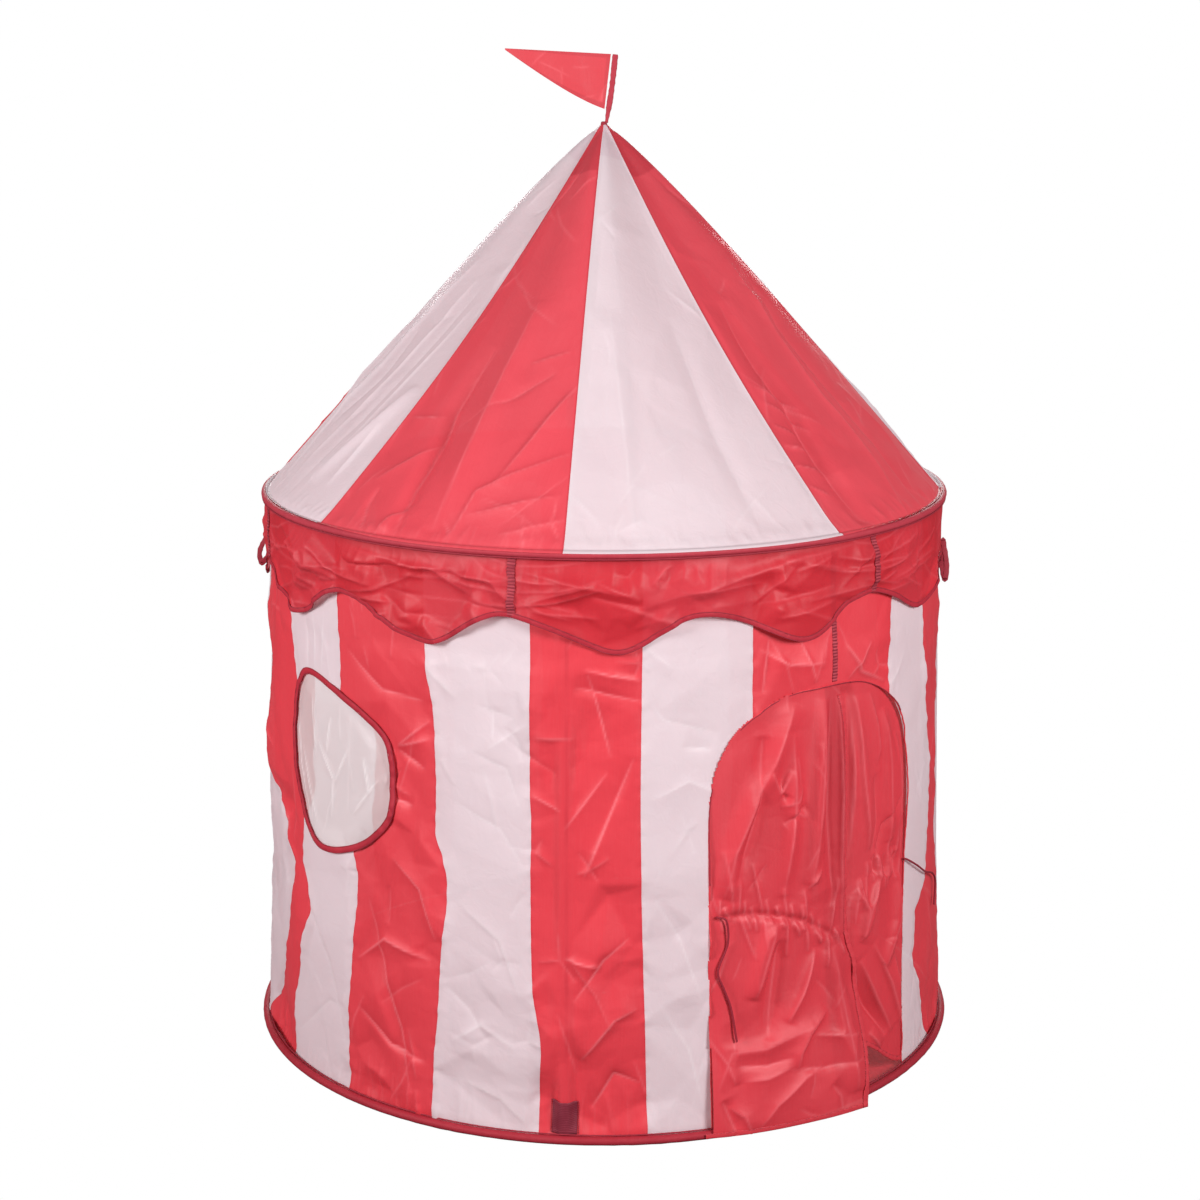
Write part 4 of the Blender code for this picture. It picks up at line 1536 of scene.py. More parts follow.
@dataclass
class HoopBand:
    """A cloth sleeve over a spring hoop, puckered where it is stitched."""

    name: str
    node: str
    middle: float
    half: float
    height: float
    material: bpy.types.Material
    slot: Slot
    pucker: float = 0.45 * MM
    segments: int = 720
    sides: int = 12

    def build(self) -> None:
        """Make the sleeve from a torus and pucker it."""
        bpy.ops.object.select_all(action="DESELECT")
        bpy.ops.mesh.primitive_torus_add(
            location=(0.0, 0.0, 0.0), major_segments=self.segments, minor_segments=self.sides,
            major_radius=self.middle, minor_radius=self.half - self.pucker,
        )
        piece = bpy.context.object
        piece.name = self.name
        piece.data.name = self.name
        count = len(piece.data.vertices)
        places = np.zeros(count * 3)
        piece.data.vertices.foreach_get("co", places)
        places = places.reshape(-1, 3)
        radius = np.hypot(places[:, 0], places[:, 1])
        angle = np.arctan2(places[:, 0], -places[:, 1])
        across = radius - self.middle
        up = places[:, 2]
        ring = np.arctan2(up, across)
        random = np.random.default_rng(len(self.name))
        # Prime numbers of waves, so that the puckers never line up
        swell = np.zeros(count)
        for waves in (97, 151, 233):
            phase = random.uniform(0.0, math.tau)
            swell += np.sin(waves * angle + phase + 1.5 * np.sin(ring + phase)) / 3.0
        swell *= 0.6 + 0.4 * np.sin(13.0 * angle + 0.7)
        grown = 1.0 + swell * self.pucker / self.half
        places[:, 2] = np.maximum(up * grown, -self.half) + self.height
        spread = self.middle + across * grown
        places[:, 0] = spread * np.sin(angle)
        places[:, 1] = -spread * np.cos(angle)
        piece.data.vertices.foreach_set("co", places.ravel())
        layer = piece.data.uv_layers.active or piece.data.uv_layers.new()
        layer.name = CLOTH_MAP
        corner = np.zeros(len(piece.data.loops), int)
        piece.data.loops.foreach_get("vertex_index", corner)
        uv = np.stack([ring[corner] * self.half, angle[corner] * self.middle], axis=-1)
        layer.data.foreach_set("uv", uv.ravel())
        piece.data.materials.append(self.material)
        piece.data.shade_smooth()
        piece.data.update()
        settle(piece, self.slot, self.node)


# Valance


@dataclass
class Valance:
    """Scalloped skirt below the eave, in sections gathered at their seams."""

    finishes: Finishes
    sections: int = 6
    first_seam: float = -73.8
    scallop: float = 30.0
    low_angle: float = 1.2
    low: float = 0.690
    high: float = 0.737
    gather_pitch: float = 0.013
    gather_depth: float = 0.072

    def top(self) -> float:
        """Height at which the skirt is sewn to the hoop."""
        return FORM.eave_height - FORM.eave_half

    def hem(self, angle: Points) -> Points:
        """Height of the scalloped edge.

        Args:
            angle: degrees round the tent.

        Returns:
            Heights above the floor.
        """
        wave = np.cos(math.tau * (angle - self.low_angle) / self.scallop)
        middle = (self.low + self.high) / 2.0
        swing = (self.high - self.low) / 2.0
        return middle - swing * (wave + 0.12 * np.cos(2.0 * math.tau * (angle - 4.0) / self.scallop))

    def paint(self) -> FoldMap:
        """Paint the skirt's folds, on a map of its drop below the hoop.

        Returns:
            The painted map.
        """
        random = np.random.default_rng(23)
        around = math.tau * FORM.eave_middle
        drop = self.top() - self.low + 0.02
        folds = FoldMap(-around / 2.0, -drop, around, drop, 1.2 * MM, wraps=True)
        folds.facets(0.060, 4.5 * MM, random, 0.6)
        folds.facets(0.030, 2.4 * MM, random, 0.7, folds.patches(0.10, random))
        folds.waves([(17, 0.4, 0.2, 1.8 * MM), (29, -0.5, 0.6, 1.3 * MM)])
        folds.soften(2)
        for _ in range(84):
            x = folds.left + random.uniform(0.0, around)
            y = -random.uniform(0.015, drop - 0.03)
            half = random.uniform(0.02, 0.07)
            slant = random.normal(0.0, 0.30)
            route = [(x - half, y - slant * half), (x, y + random.uniform(-3, 3) * MM),
                     (x + half, y + slant * half)]
            folds.chance_fold(route, (2.0, 5.0), (4.0, 8.0), 0.7, 0.35, random)
        for height, width, *route in self.front_folds():
            line = [(math.radians(angle) * FORM.eave_middle * MM_PER_METRE,
                     place - self.top() * MM_PER_METRE) for angle, place in route]
            folds.paint_routes([(height, width, *line)], random)
        for step in range(int(around / self.gather_pitch)):
            x = folds.left + (step + random.uniform(-0.4, 0.4)) * self.gather_pitch
            fall = random.uniform(0.012, 0.050)
            folds.fold([(x, 0.01), (x + random.uniform(-0.018, 0.018), -fall)],
                       random.uniform(0.8, 2.6) * MM, 3.2 * MM, 0.0, 0.1)
        for section in range(self.sections):
            seam = math.radians(self.first_seam + section * FULL_TURN / self.sections)
            self.pull(folds, seam * FORM.eave_middle, random)
        return folds

    def front_folds(self) -> list[tuple]:
        """Strongest folds at the front: ridge, width, then (angle, height), all lengths in mm.

        Returns:
            One row for each fold.
        """
        return [
            (7, 12, (5.5, 750), (11.5, 765), (22.5, 785), (29.5, 800), (46.5, 810)),
            (-4, 7, (23.5, 745), (30.5, 750), (37.5, 755)),
            (4, 6, (26.5, 725), (33, 730), (38, 735)),
            (-4, 6, (1.5, 795), (3.5, 790), (5, 805)),
            (4, 5, (7, 780), (9, 800), (10.5, 805)),
            (6, 9, (-1, 785), (1.5, 775), (5.5, 760)),
            (-5, 8, (-2, 765), (2.5, 755), (6, 750)),
            (5, 9, (39, 750), (43, 780), (46.5, 800)),
            (-5, 9, (38, 775), (47.5, 775), (58, 770)),
            (5, 8, (50.5, 745), (58, 755), (69, 760)),
            (5, 8, (-11, 745), (-6, 740), (-0.5, 735)),
            (5, 9, (-11.5, 755), (-6, 770), (-0.5, 785)),
            (5, 8, (-13, 750), (-15, 765), (-17, 785)),
            (-6, 10, (-13, 740), (-20, 750), (-29, 750), (-37.5, 755)),
            (6, 9, (-13.5, 775), (-23.5, 790), (-31, 790), (-41, 785)),
            (5, 8, (-20, 760), (-27, 790), (-31, 790)),
            (-5, 8, (-46, 795), (-42.5, 780), (-30, 790)),
            (6, 9, (-54.5, 800), (-49.5, 775), (-44, 755)),
            (-5, 9, (-70, 760), (-58.5, 755), (-46, 750)),
            (5, 8, (-63, 795), (-54.5, 780), (-54, 740)),
            (5, 9, (-44, 740), (-37.5, 750), (-28.5, 785)),
            (-4, 8, (-36, 745), (-31.5, 725), (-23.5, 725)),
        ]

    def pull(self, folds: FoldMap, x: float, random: Random) -> None:
        """Paint the tension folds that run out of a gathered seam.

        Args:
            folds: the skirt's map.
            x: the seam's place on it.
            random: source of the folds' forms.
        """
        for side in (-1.0, 1.0):
            for share in (0.15, 0.4, 0.65, 0.9):
                y = -share * self.gather_depth
                length = random.uniform(0.05, 0.13)
                fall = random.uniform(-0.015, 0.035)
                route = [(x, y), (x + side * length * 0.5, y + fall * 0.35 - 0.002),
                         (x + side * length, y + fall)]
                folds.chance_fold(route, (2.5, 4.5), (3.5, 8.0), 0.6, 0.5, random)

    def skin(self, folds: FoldMap, angle: Points, height: Points,
             above: float = 0.0) -> tuple[Points, Points]:
        """Points on the skirt, and their pale crease marks.

        Args:
            folds: the skirt's map.
            angle: degrees round the tent.
            height: height above the floor.
            above: distance out of the cloth.

        Returns:
            Points, and pale crease marks from 0 to 1, partly wear and partly painted highlight.
        """
        drop = height - self.top()
        out, wear_and_sheen = folds.read(np.radians(angle) * FORM.eave_middle, drop)
        free = smooth(-drop / 0.030)
        around = from_front(angle)
        # It stands off the wall at the front and lies close at the sides
        aside = smooth((np.abs(around) - 56.0) / 18.0)
        left = smooth((-12.0 - around) / 20.0)
        depth = mix(mix(1.0, 1.35, left), 0.55, aside)
        lifted = out * free * depth + mix(4.0, -0.5, aside) * MM * free
        # The wall behind stops it, softly, 1.5 mm in
        inner = -1.5 * MM
        lifted = np.where(lifted < 0.0, inner * (1.0 - np.exp(lifted / 2.0 / MM)), lifted)
        return round_the_tent(FORM.eave_middle + lifted + above, angle, height), wear_and_sheen

    def build(self) -> None:
        """Make the sections, their hem binding and their gathered seams."""
        folds = self.paint()
        width = FULL_TURN / self.sections
        for index in range(self.sections):
            start = self.first_seam + index * width
            is_front = index in (0, 1, 2)
            cell = FRONT_CELL * 0.85 if is_front else BACK_CELL * 0.8
            columns = round(math.radians(width) * FORM.eave_middle / cell)
            rows = round((self.top() - self.low) / cell)
            angle = np.linspace(start, start + width, columns + 1)[None, :]
            share = np.linspace(0.0, 1.0, rows + 1)[:, None]
            height = mix(self.hem(angle), self.top(), share)
            angle = np.broadcast_to(angle, height.shape)
            points, wear_and_sheen = self.skin(folds, angle, height)
            flat = np.stack([np.radians(angle) * FORM.eave_middle, height], axis=-1)
            # Darker at the gathered seams, where the cloth is doubled, and along the sewn top: a doubled edge
            # with painted shade under the eave hoop
            edge = np.radians(np.minimum(angle - start, start + width - angle)) * FORM.eave_middle
            doubled_and_shade = 0.8 * np.exp(-(edge / (4 * MM)) ** 2)
            doubled_and_shade = np.maximum(doubled_and_shade, 0.30 * smooth((height - self.top() + 0.012) / 0.010))
            cloth = Cloth(points, flat, {"wear_and_sheen": wear_and_sheen, "doubled_and_shade": doubled_and_shade})
            piece = cloth.build(f"cloth_valance_{index + 1}", self.finishes.skirt)
            settle(piece, Slot.RED, f"valance_{index + 1}")
            declare_sheet(cloth)
            self.bind_hem(index, start, width, folds)
            self.gather_seam(index, start, folds)

    def bind_hem(self, index: int, start: float, width: float, folds: FoldMap) -> None:
        """Fold a binding over the scalloped edge of one section.

        Args:
            index: the section's number, from 0.
            start: angle of its left seam.
            width: degrees that it spans.
            folds: the skirt's map.
        """
        angle = np.linspace(start, start + width, 220)
        height = self.hem(angle) + 2 * MM
        line, _ = self.skin(folds, angle, height, 0.3 * MM)
        out = outward(angle)
        run = TapeRun(6.5 * MM, 1.7 * MM, ripple=0.25 * MM, ripple_length=11 * MM)
        piece = edged_tape(f"valance_hem_{index + 1}", line, out, run, self.finishes.binding,
                           self.finishes.tape)
        settle(piece, Slot.TAPE)

    def gather_seam(self, index: int, start: float, folds: FoldMap) -> None:
        """Make the ruched strip at the left seam of one section.

        Args:
            index: the section's number, from 0.
            start: angle of its left seam.
            folds: the skirt's map.
        """
        height = np.linspace(self.top() - MM, float(self.hem(np.array(start))) + MM, 90)
        angle = np.full_like(height, start) + 0.06 * np.sin(180.0 * height)
        line, _ = self.skin(folds, angle, height, MM)
        out = outward(angle)
        run = TapeRun(12 * MM, 2 * MM, ripple=0.5 * MM, ripple_length=4.4 * MM)
        settle(run.build(f"valance_gather_{index + 1}", line, out, self.finishes.gather), Slot.TAPE)


# Roof


@dataclass
class Roof:
    """Eight gores with their seams and the sewn cap."""

    finishes: Finishes
    map_half: float = 0.215
    tip_rise: float = 1.016
    foot_rows: int = 5
    foot_puckers: int = 28
    pucker_pitch: float = 0.0145
    knot_foot: float = 6 * MM
    knot_head: float = 3.9 * MM
    knot_tall: float = 0.009
    knot_drop: float = 4.2 * MM

    def paint(self, index: int) -> FoldMap:
        """Paint one gore's folds, on a map with its foot along the bottom.

        Args:
            index: the gore's number, from 0.

        Returns:
            The painted map.
        """
        random = np.random.default_rng(40 + index)
        folds = FoldMap(-self.map_half, 0.0, 2.0 * self.map_half, FORM.roof_length())
        folds.facets(0.090, 2.6 * MM, random, 1.6)
        folds.facets(0.045, 1.1 * MM, random, 1.4, folds.patches(0.15, random))
        folds.soften(3)
        if index in self.seen_folds():
            folds.paint_routes(self.seen_folds()[index], random)
        else:
            self.fan(folds, index, random)
        folds.scatter(30, (0.03, 0.14), (0.5 * MM, 1.8 * MM), (3 * MM, 7 * MM), random, 0.3)
        for step in range(self.foot_puckers):
            x = -0.2 + (step + random.uniform(-0.4, 0.4)) * self.pucker_pitch
            folds.fold([(x, -0.012), (x + random.uniform(-0.01, 0.01), random.uniform(0.015, 0.05))],
                       random.uniform(0.8, 2.4) * MM, 3.5 * MM, 0.0, 0.1)
        return folds

    def seen_folds(self) -> dict[int, list[tuple]]:
        """Strongest folds of the front's gores: ridge, width, then places on the map, in mm.

        Returns:
            Rows of folds for each gore that shows.
        """
        return {
            7: [
                (6, 10, (140, 310), (125, 260), (95, 175), (65, 100)),
                (5, 9, (165, 160), (90, 120), (45, 90), (35, 20), (25, -10)),
                (4.5, 8, (165, 85), (120, 75), (75, 60), (45, 50)),
                (4, 7, (185, 50), (125, 25), (100, 20)),
                (-8, 14, (-30, 340), (-55, 230), (-50, 175), (-55, 100), (-55, 45), (-45, -10)),
                (5, 7, (-40, 60), (-70, 30), (-85, -10)),
                (-5, 8, (-120, 80), (-125, 45), (-105, -10)),
                (3, 7, (-135, 205), (-65, 215)),
                (4, 8, (-50, 170), (-135, 90)),
                (-3.5, 8, (90, 290), (25, 235)),
                (3, 7, (100, 325), (45, 305)),
                (-3, 6, (160, 85), (165, 45), (185, 15)),
                (8, 22, (20, 420), (10, 250), (5, 20)),
            ],
            6: [
                (5, 8, (-20, 480), (-45, 325), (-50, 225), (-60, 150), (-70, 20)),
                (-4, 8, (-30, 340), (-20, 240), (-40, 140)),
                (7, 16, (95, 260), (90, 160), (70, 60)),
                (-3, 6, (-60, 420), (-85, 200), (-110, 10)),
                (3, 6, (-75, 380), (-100, 200), (-130, 10)),
                (3, 6, (10, 460), (10, 240), (5, 10)),
                (-3, 7, (35, 440), (40, 240), (40, 10)),
                (2.5, 6, (55, 420), (60, 200), (70, 10)),
                (4, 9, (105, 185), (125, 60)),
            ],
            1: [
                (-9, 17, (-45, 420), (-60, 345), (-75, 225), (-110, 120), (-125, 40), (-135, -10)),
                (3, 6, (-110, 265), (-80, 245), (-55, 215)),
                (3.5, 6, (-120, 240), (-90, 215), (-70, 175)),
                (3, 6, (-135, 200), (-100, 175)),
                (3.5, 6, (-150, 160), (-105, 150)),
                (3.5, 6, (-165, 125), (-115, 110)),
                (3, 6, (-170, 90), (-145, 65)),
                (5, 7, (30, 480), (25, 345), (10, 220), (10, 155), (0, 80), (-35, -10)),
                (-4, 7, (45, 450), (40, 330), (40, 200), (45, 125), (30, 0)),
                (4, 8, (80, 230), (115, 115), (100, 55)),
            ],
            0: [
                (3, 14, (-60, 400), (-80, 200), (-100, 20)),
                (-3, 16, (30, 400), (50, 200), (80, 20)),
                (1.6, 6, (-120, 30), (-80, 50)),
                (1.6, 6, (-170, 90), (-140, 40)),
            ],
        }

    def fan(self, folds: FoldMap, index: int, random: Random) -> None:
        """Paint the slack folds that fall from the rod's seam towards the gore's other foot.

        Args:
            folds: the gore's map.
            index: the gore's number, from 0. A rod runs along every second seam.
            random: source of the folds' forms.
        """
        to_rod = 1.0 if index % 2 else -1.0
        strength = 1.0 if index % 2 else 0.45
        for step in range(9):
            fade = 1.0 - 0.07 * step
            rise = 0.05 + 0.052 * step + random.uniform(-0.015, 0.015)
            reach = 0.205 * (1.0 - rise / FORM.roof_length())
            start = to_rod * reach * random.uniform(0.80, 0.99)
            run = random.uniform(0.10, 0.20) * (1.0 - 0.5 * rise / FORM.roof_length())
            fall = random.uniform(0.03, 0.12) * (0.4 + 1.2 * step / 9.0)
            end = start - to_rod * run
            low = max(0.012, rise - fall)
            bow = random.uniform(-0.006, 0.006)
            route = [(start, rise), ((start + end) / 2.0, (rise + low) / 2.0 + bow), (end, low)]
            folds.fold(route, random.uniform(2.2, 4.0) * MM * strength * fade,
                       random.uniform(5.0, 12.0) * MM, 0.75 * to_rod, 0.35)
        for _ in range(5):
            x = random.uniform(-0.15, 0.15)
            base = random.uniform(0.0, 0.10)
            reach = random.uniform(0.12, 0.34)
            tilt = random.uniform(-0.05, 0.05)
            route = [(x, base), (x * 0.8 + tilt * 0.5, base + reach * 0.5),
                     (x * 0.6 + tilt, base + reach)]
            folds.chance_fold(route, (2.0 * strength, 4.5 * strength), (9.0, 18.0), 0.6, 0.1,
                              random, Crease.SOFT)

    def gore(self, index: int) -> None:
        """Make one gore.

        Args:
            index: its number, from 0.
        """
        width = FULL_TURN / FORM.gores
        start = FORM.pole_angle + index * width
        is_front = index in (0, 1, 6, 7)
        cell = FRONT_CELL * 1.35 if is_front else BACK_CELL
        columns = round(math.radians(width) * FORM.eave_middle / cell)
        rows = round(FORM.roof_length() / cell)
        u = np.linspace(0.0, 1.0, columns + 1)[None, :]
        rise = np.linspace(0.0, self.tip_rise, rows + 1)[:, None]
        angle = start + width * u
        foot_radius = FORM.eave_reach - 2.0 * FORM.eave_half
        half = math.radians(width) / 2.0 * mix(foot_radius, FORM.hub_radius, rise)
        x = (2.0 * u - 1.0) * half
        y = np.broadcast_to(rise * FORM.roof_length(), x.shape)
        out, wear_and_sheen = self.paint(index).read(x, y)
        # Flat where it is sewn, with a fine ridge on the seam, and drawn over the front of the hoop
        edge = half - np.abs(x)
        from_tip = FORM.roof_length() - y
        hold = smooth(edge / (14 * MM)) * smooth(y / 0.02 + 0.1) * smooth(from_tip / 0.10)
        out = out * hold + 0.9 * MM * np.exp(-(edge / (2.6 * MM)) ** 2)
        out = out + 3.6 * MM * self.over_hoop(angle) * np.exp(-(y / 0.020) ** 2)
        points = FORM.roof_point(np.broadcast_to(angle, x.shape), np.broadcast_to(rise, x.shape), out)
        flat = np.stack([x, y], axis=-1)
        dye = Dye.WHITE if index % 2 == 0 else Dye.RED
        # Darker along a red gore's seams and where a second layer backs the tip
        doubled_and_shade = (0.55 if dye is Dye.RED else 0.0) * np.exp(-(edge / (1.6 * MM)) ** 2)
        reinforced = 0.055 if dye is Dye.WHITE else 0.085
        doubled_and_shade = np.maximum(doubled_and_shade, 0.45 * smooth((reinforced - from_tip) / 0.004))
        wear_and_sheen, doubled_and_shade = (self.with_foot(layer) for layer in (wear_and_sheen, doubled_and_shade))
        points, flat = self.wrap_foot(points, flat, angle[0])
        cloth = Cloth(points, flat, {"wear_and_sheen": wear_and_sheen, "doubled_and_shade": doubled_and_shade})
        material, slot = self.finishes.cloth(dye)
        # Red gores take the lit copy of the red, painted light for the slope
        if dye is Dye.RED:
            material = self.finishes.lit_roof_red
        piece = cloth.build(f"cloth_roof_gore_{index + 1}", material)
        settle(piece, slot, f"roof_gore_{index + 1}")
        declare_sheet(cloth)

    def over_hoop(self, angle: Points) -> Points:
        """How far the cloth is drawn over the hoop: 1 at the front, 0 at the sides and back."""
        around = from_front(angle)
        return 1.0 - smooth((np.abs(around) - 30.0) / 35.0)

    def with_foot(self, layer: Points) -> Points:
        """Repeat a mark's lowest row along the wrapped foot."""
        return np.vstack([np.repeat(layer[:1], self.foot_rows, axis=0), layer])

    def wrap_foot(self, points: Points, flat: Points, angle: Points) -> tuple[Points, Points]:
        """Lead a gore's foot over the hoop, further at the front than at the sides.

        Args:
            points: the gore's points.
            flat: its flat cut.
            angle: degrees round the tent of each column.

        Returns:
            Points and flat cut with the wrapped rows below.
        """
        # Turn round the hoop's own middle, from 0 straight out to 90 on top of it
        over = self.over_hoop(angle)[None, :]
        share = np.linspace(0.0, 1.0, self.foot_rows, endpoint=False)[:, None]
        inner_turn = mix(150.0, 122.0, over)
        outer_turn = mix(105.0, 30.0, over)
        turn = np.radians(mix(outer_turn, inner_turn, share))
        reach = FORM.eave_half + 0.7 * MM
        radius = FORM.eave_middle + reach * np.cos(turn)
        height = FORM.eave_height + reach * np.sin(turn)
        wrapped = round_the_tent(radius, np.broadcast_to(angle, radius.shape), height)
        drop = reach * (np.radians(inner_turn) - turn)
        below = np.stack([np.broadcast_to(flat[0, :, 0], drop.shape), -drop], axis=-1)
        return np.concatenate([wrapped, points]), np.concatenate([below, flat])

    def cap(self) -> None:
        """Make the small bound knot that closes the roof's tip."""
        bpy.ops.object.select_all(action="DESELECT")
        bpy.ops.mesh.primitive_cone_add(
            vertices=32, radius1=self.knot_foot, radius2=self.knot_head, depth=self.knot_tall,
            location=(0.0, 0.0, FORM.roof_tip - self.knot_drop),
        )
        piece = bpy.context.object
        piece.name = "apex_cap"
        bpy.ops.object.transform_apply(location=True, rotation=True, scale=True)
        bpy.ops.object.mode_set(mode="EDIT")
        bpy.ops.mesh.select_all(action="SELECT")
        bpy.ops.mesh.subdivide(number_cuts=2)
        bpy.ops.object.mode_set(mode="OBJECT")
        bevel = piece.modifiers.new("worn edge", "BEVEL")
        bevel.width = 0.8 * MM
        bevel.segments = 3
        bevel.limit_method = "ANGLE"
        bpy.ops.object.modifier_apply(modifier="worn edge")
        piece.data.uv_layers[0].name = CLOTH_MAP
        piece.data.materials.append(self.finishes.tape)
        piece.data.shade_smooth()
        settle(piece, Slot.TAPE, "apex_hub")

    def build(self) -> None:
        """Make the gores and the cap."""
        for index in range(FORM.gores):
            self.gore(index)
        self.cap()


# Door


@dataclass
class Curtain:
    """One half of the door's curtain, gathered by a draw tape in a casing."""

    name: str
    node: str
    wall: Wall
    finishes: Finishes
    folds: FoldMap = field(init=False)
    hem_width: float = 8 * MM
    half_turn: float = 22.2
    head: float = 0.632
    mean_radius: float = 0.51

    def __post_init__(self) -> None:
        """Paint the folds."""
        self.folds = self.paint()

    @property
    def door(self) -> Opening:
        """The opening that the curtain hangs in."""
        return self.wall.openings[0]

    def paint(self) -> FoldMap:
        """Paint the curtain's folds, from the door's middle and the floor."""
        raise NotImplementedError

    def skin(self, angle: Points, height: Points, above: float = 0.0) -> tuple[Points, Points]:
        """Points on the curtain and their pale crease marks.

        Args:
            angle: degrees round the tent.
            height: height above the floor.
            above: distance out of the cloth.

        Returns:
            Points, and pale crease marks from 0 to 1, partly wear and partly painted highlight.
        """
        raise NotImplementedError

    def shade(self, angle: Points, height: Points) -> Points:
        """Painted shade: how much darker the cloth is where another layer lies behind it."""
        return np.zeros_like(height * angle)

    def across(self, angle: Points) -> Points:
        """Distance from the door's middle."""
        return np.radians(angle - self.door.angle) * self.wall.map_radius

    def hang(self, angle: Points, height: Points, hem_gap: Points) -> None:
        """Make the cloth itself.

        Args:
            angle: angles of its grid.
            height: heights of its grid.
            hem_gap: distance of each point from the nearest hem's edge.
        """
        points, wear_and_sheen = self.skin(angle, height)
        reach = self.door.reach(angle, height)
        keep = (reach[:-1, :-1] < 3 * MM) & (reach[1:, 1:] < 3 * MM)
        # Darker where the hem doubles the cloth, and painted shade where another layer lies behind
        doubled_and_shade = 0.22 * (1.0 - smooth((hem_gap - self.hem_width) / MM))
        doubled_and_shade = np.maximum(doubled_and_shade, self.shade(angle, height))
        flat = np.stack([self.across(angle), height], axis=-1)
        cloth = Cloth(points, flat, {"wear_and_sheen": wear_and_sheen, "doubled_and_shade": doubled_and_shade}, keep)
        piece = cloth.build(self.name, self.finishes.curtain)
        settle(piece, Slot.RED, self.node)
        declare_sheet(cloth)

    def trim(self, title: str, angle: Points, height: Points, width: float, ripple: float,
             stitched: Sequence[tuple[Points, Points]]) -> None:
        """Sew a folded band onto the curtain, with its rows of stitches.

        Args:
            title: what the band is.
            angle: angles along its middle.
            height: heights along its middle.
            width: its width.
            ripple: how far it puckers.
            stitched: angles and heights of each row of stitches.
        """
        line, _ = self.skin(angle, height, 0.5 * MM)
        out = outward(angle)
        run = TapeRun(width, 1.1 * MM, ripple=ripple, ripple_length=12 * MM)
        settle(run.build(f"{self.name}_{title}", line, out, self.finishes.curtain), Slot.RED)
        for number, (over, up) in enumerate(stitched, 1):
            row, _ = self.skin(over, up, 1.2 * MM)
            facing = outward(over)
            piece = Stitches().build(f"{self.name}_{title}_stitches_{number}", row, facing,
                                     self.finishes.thread)
            settle(piece, Slot.TAPE)


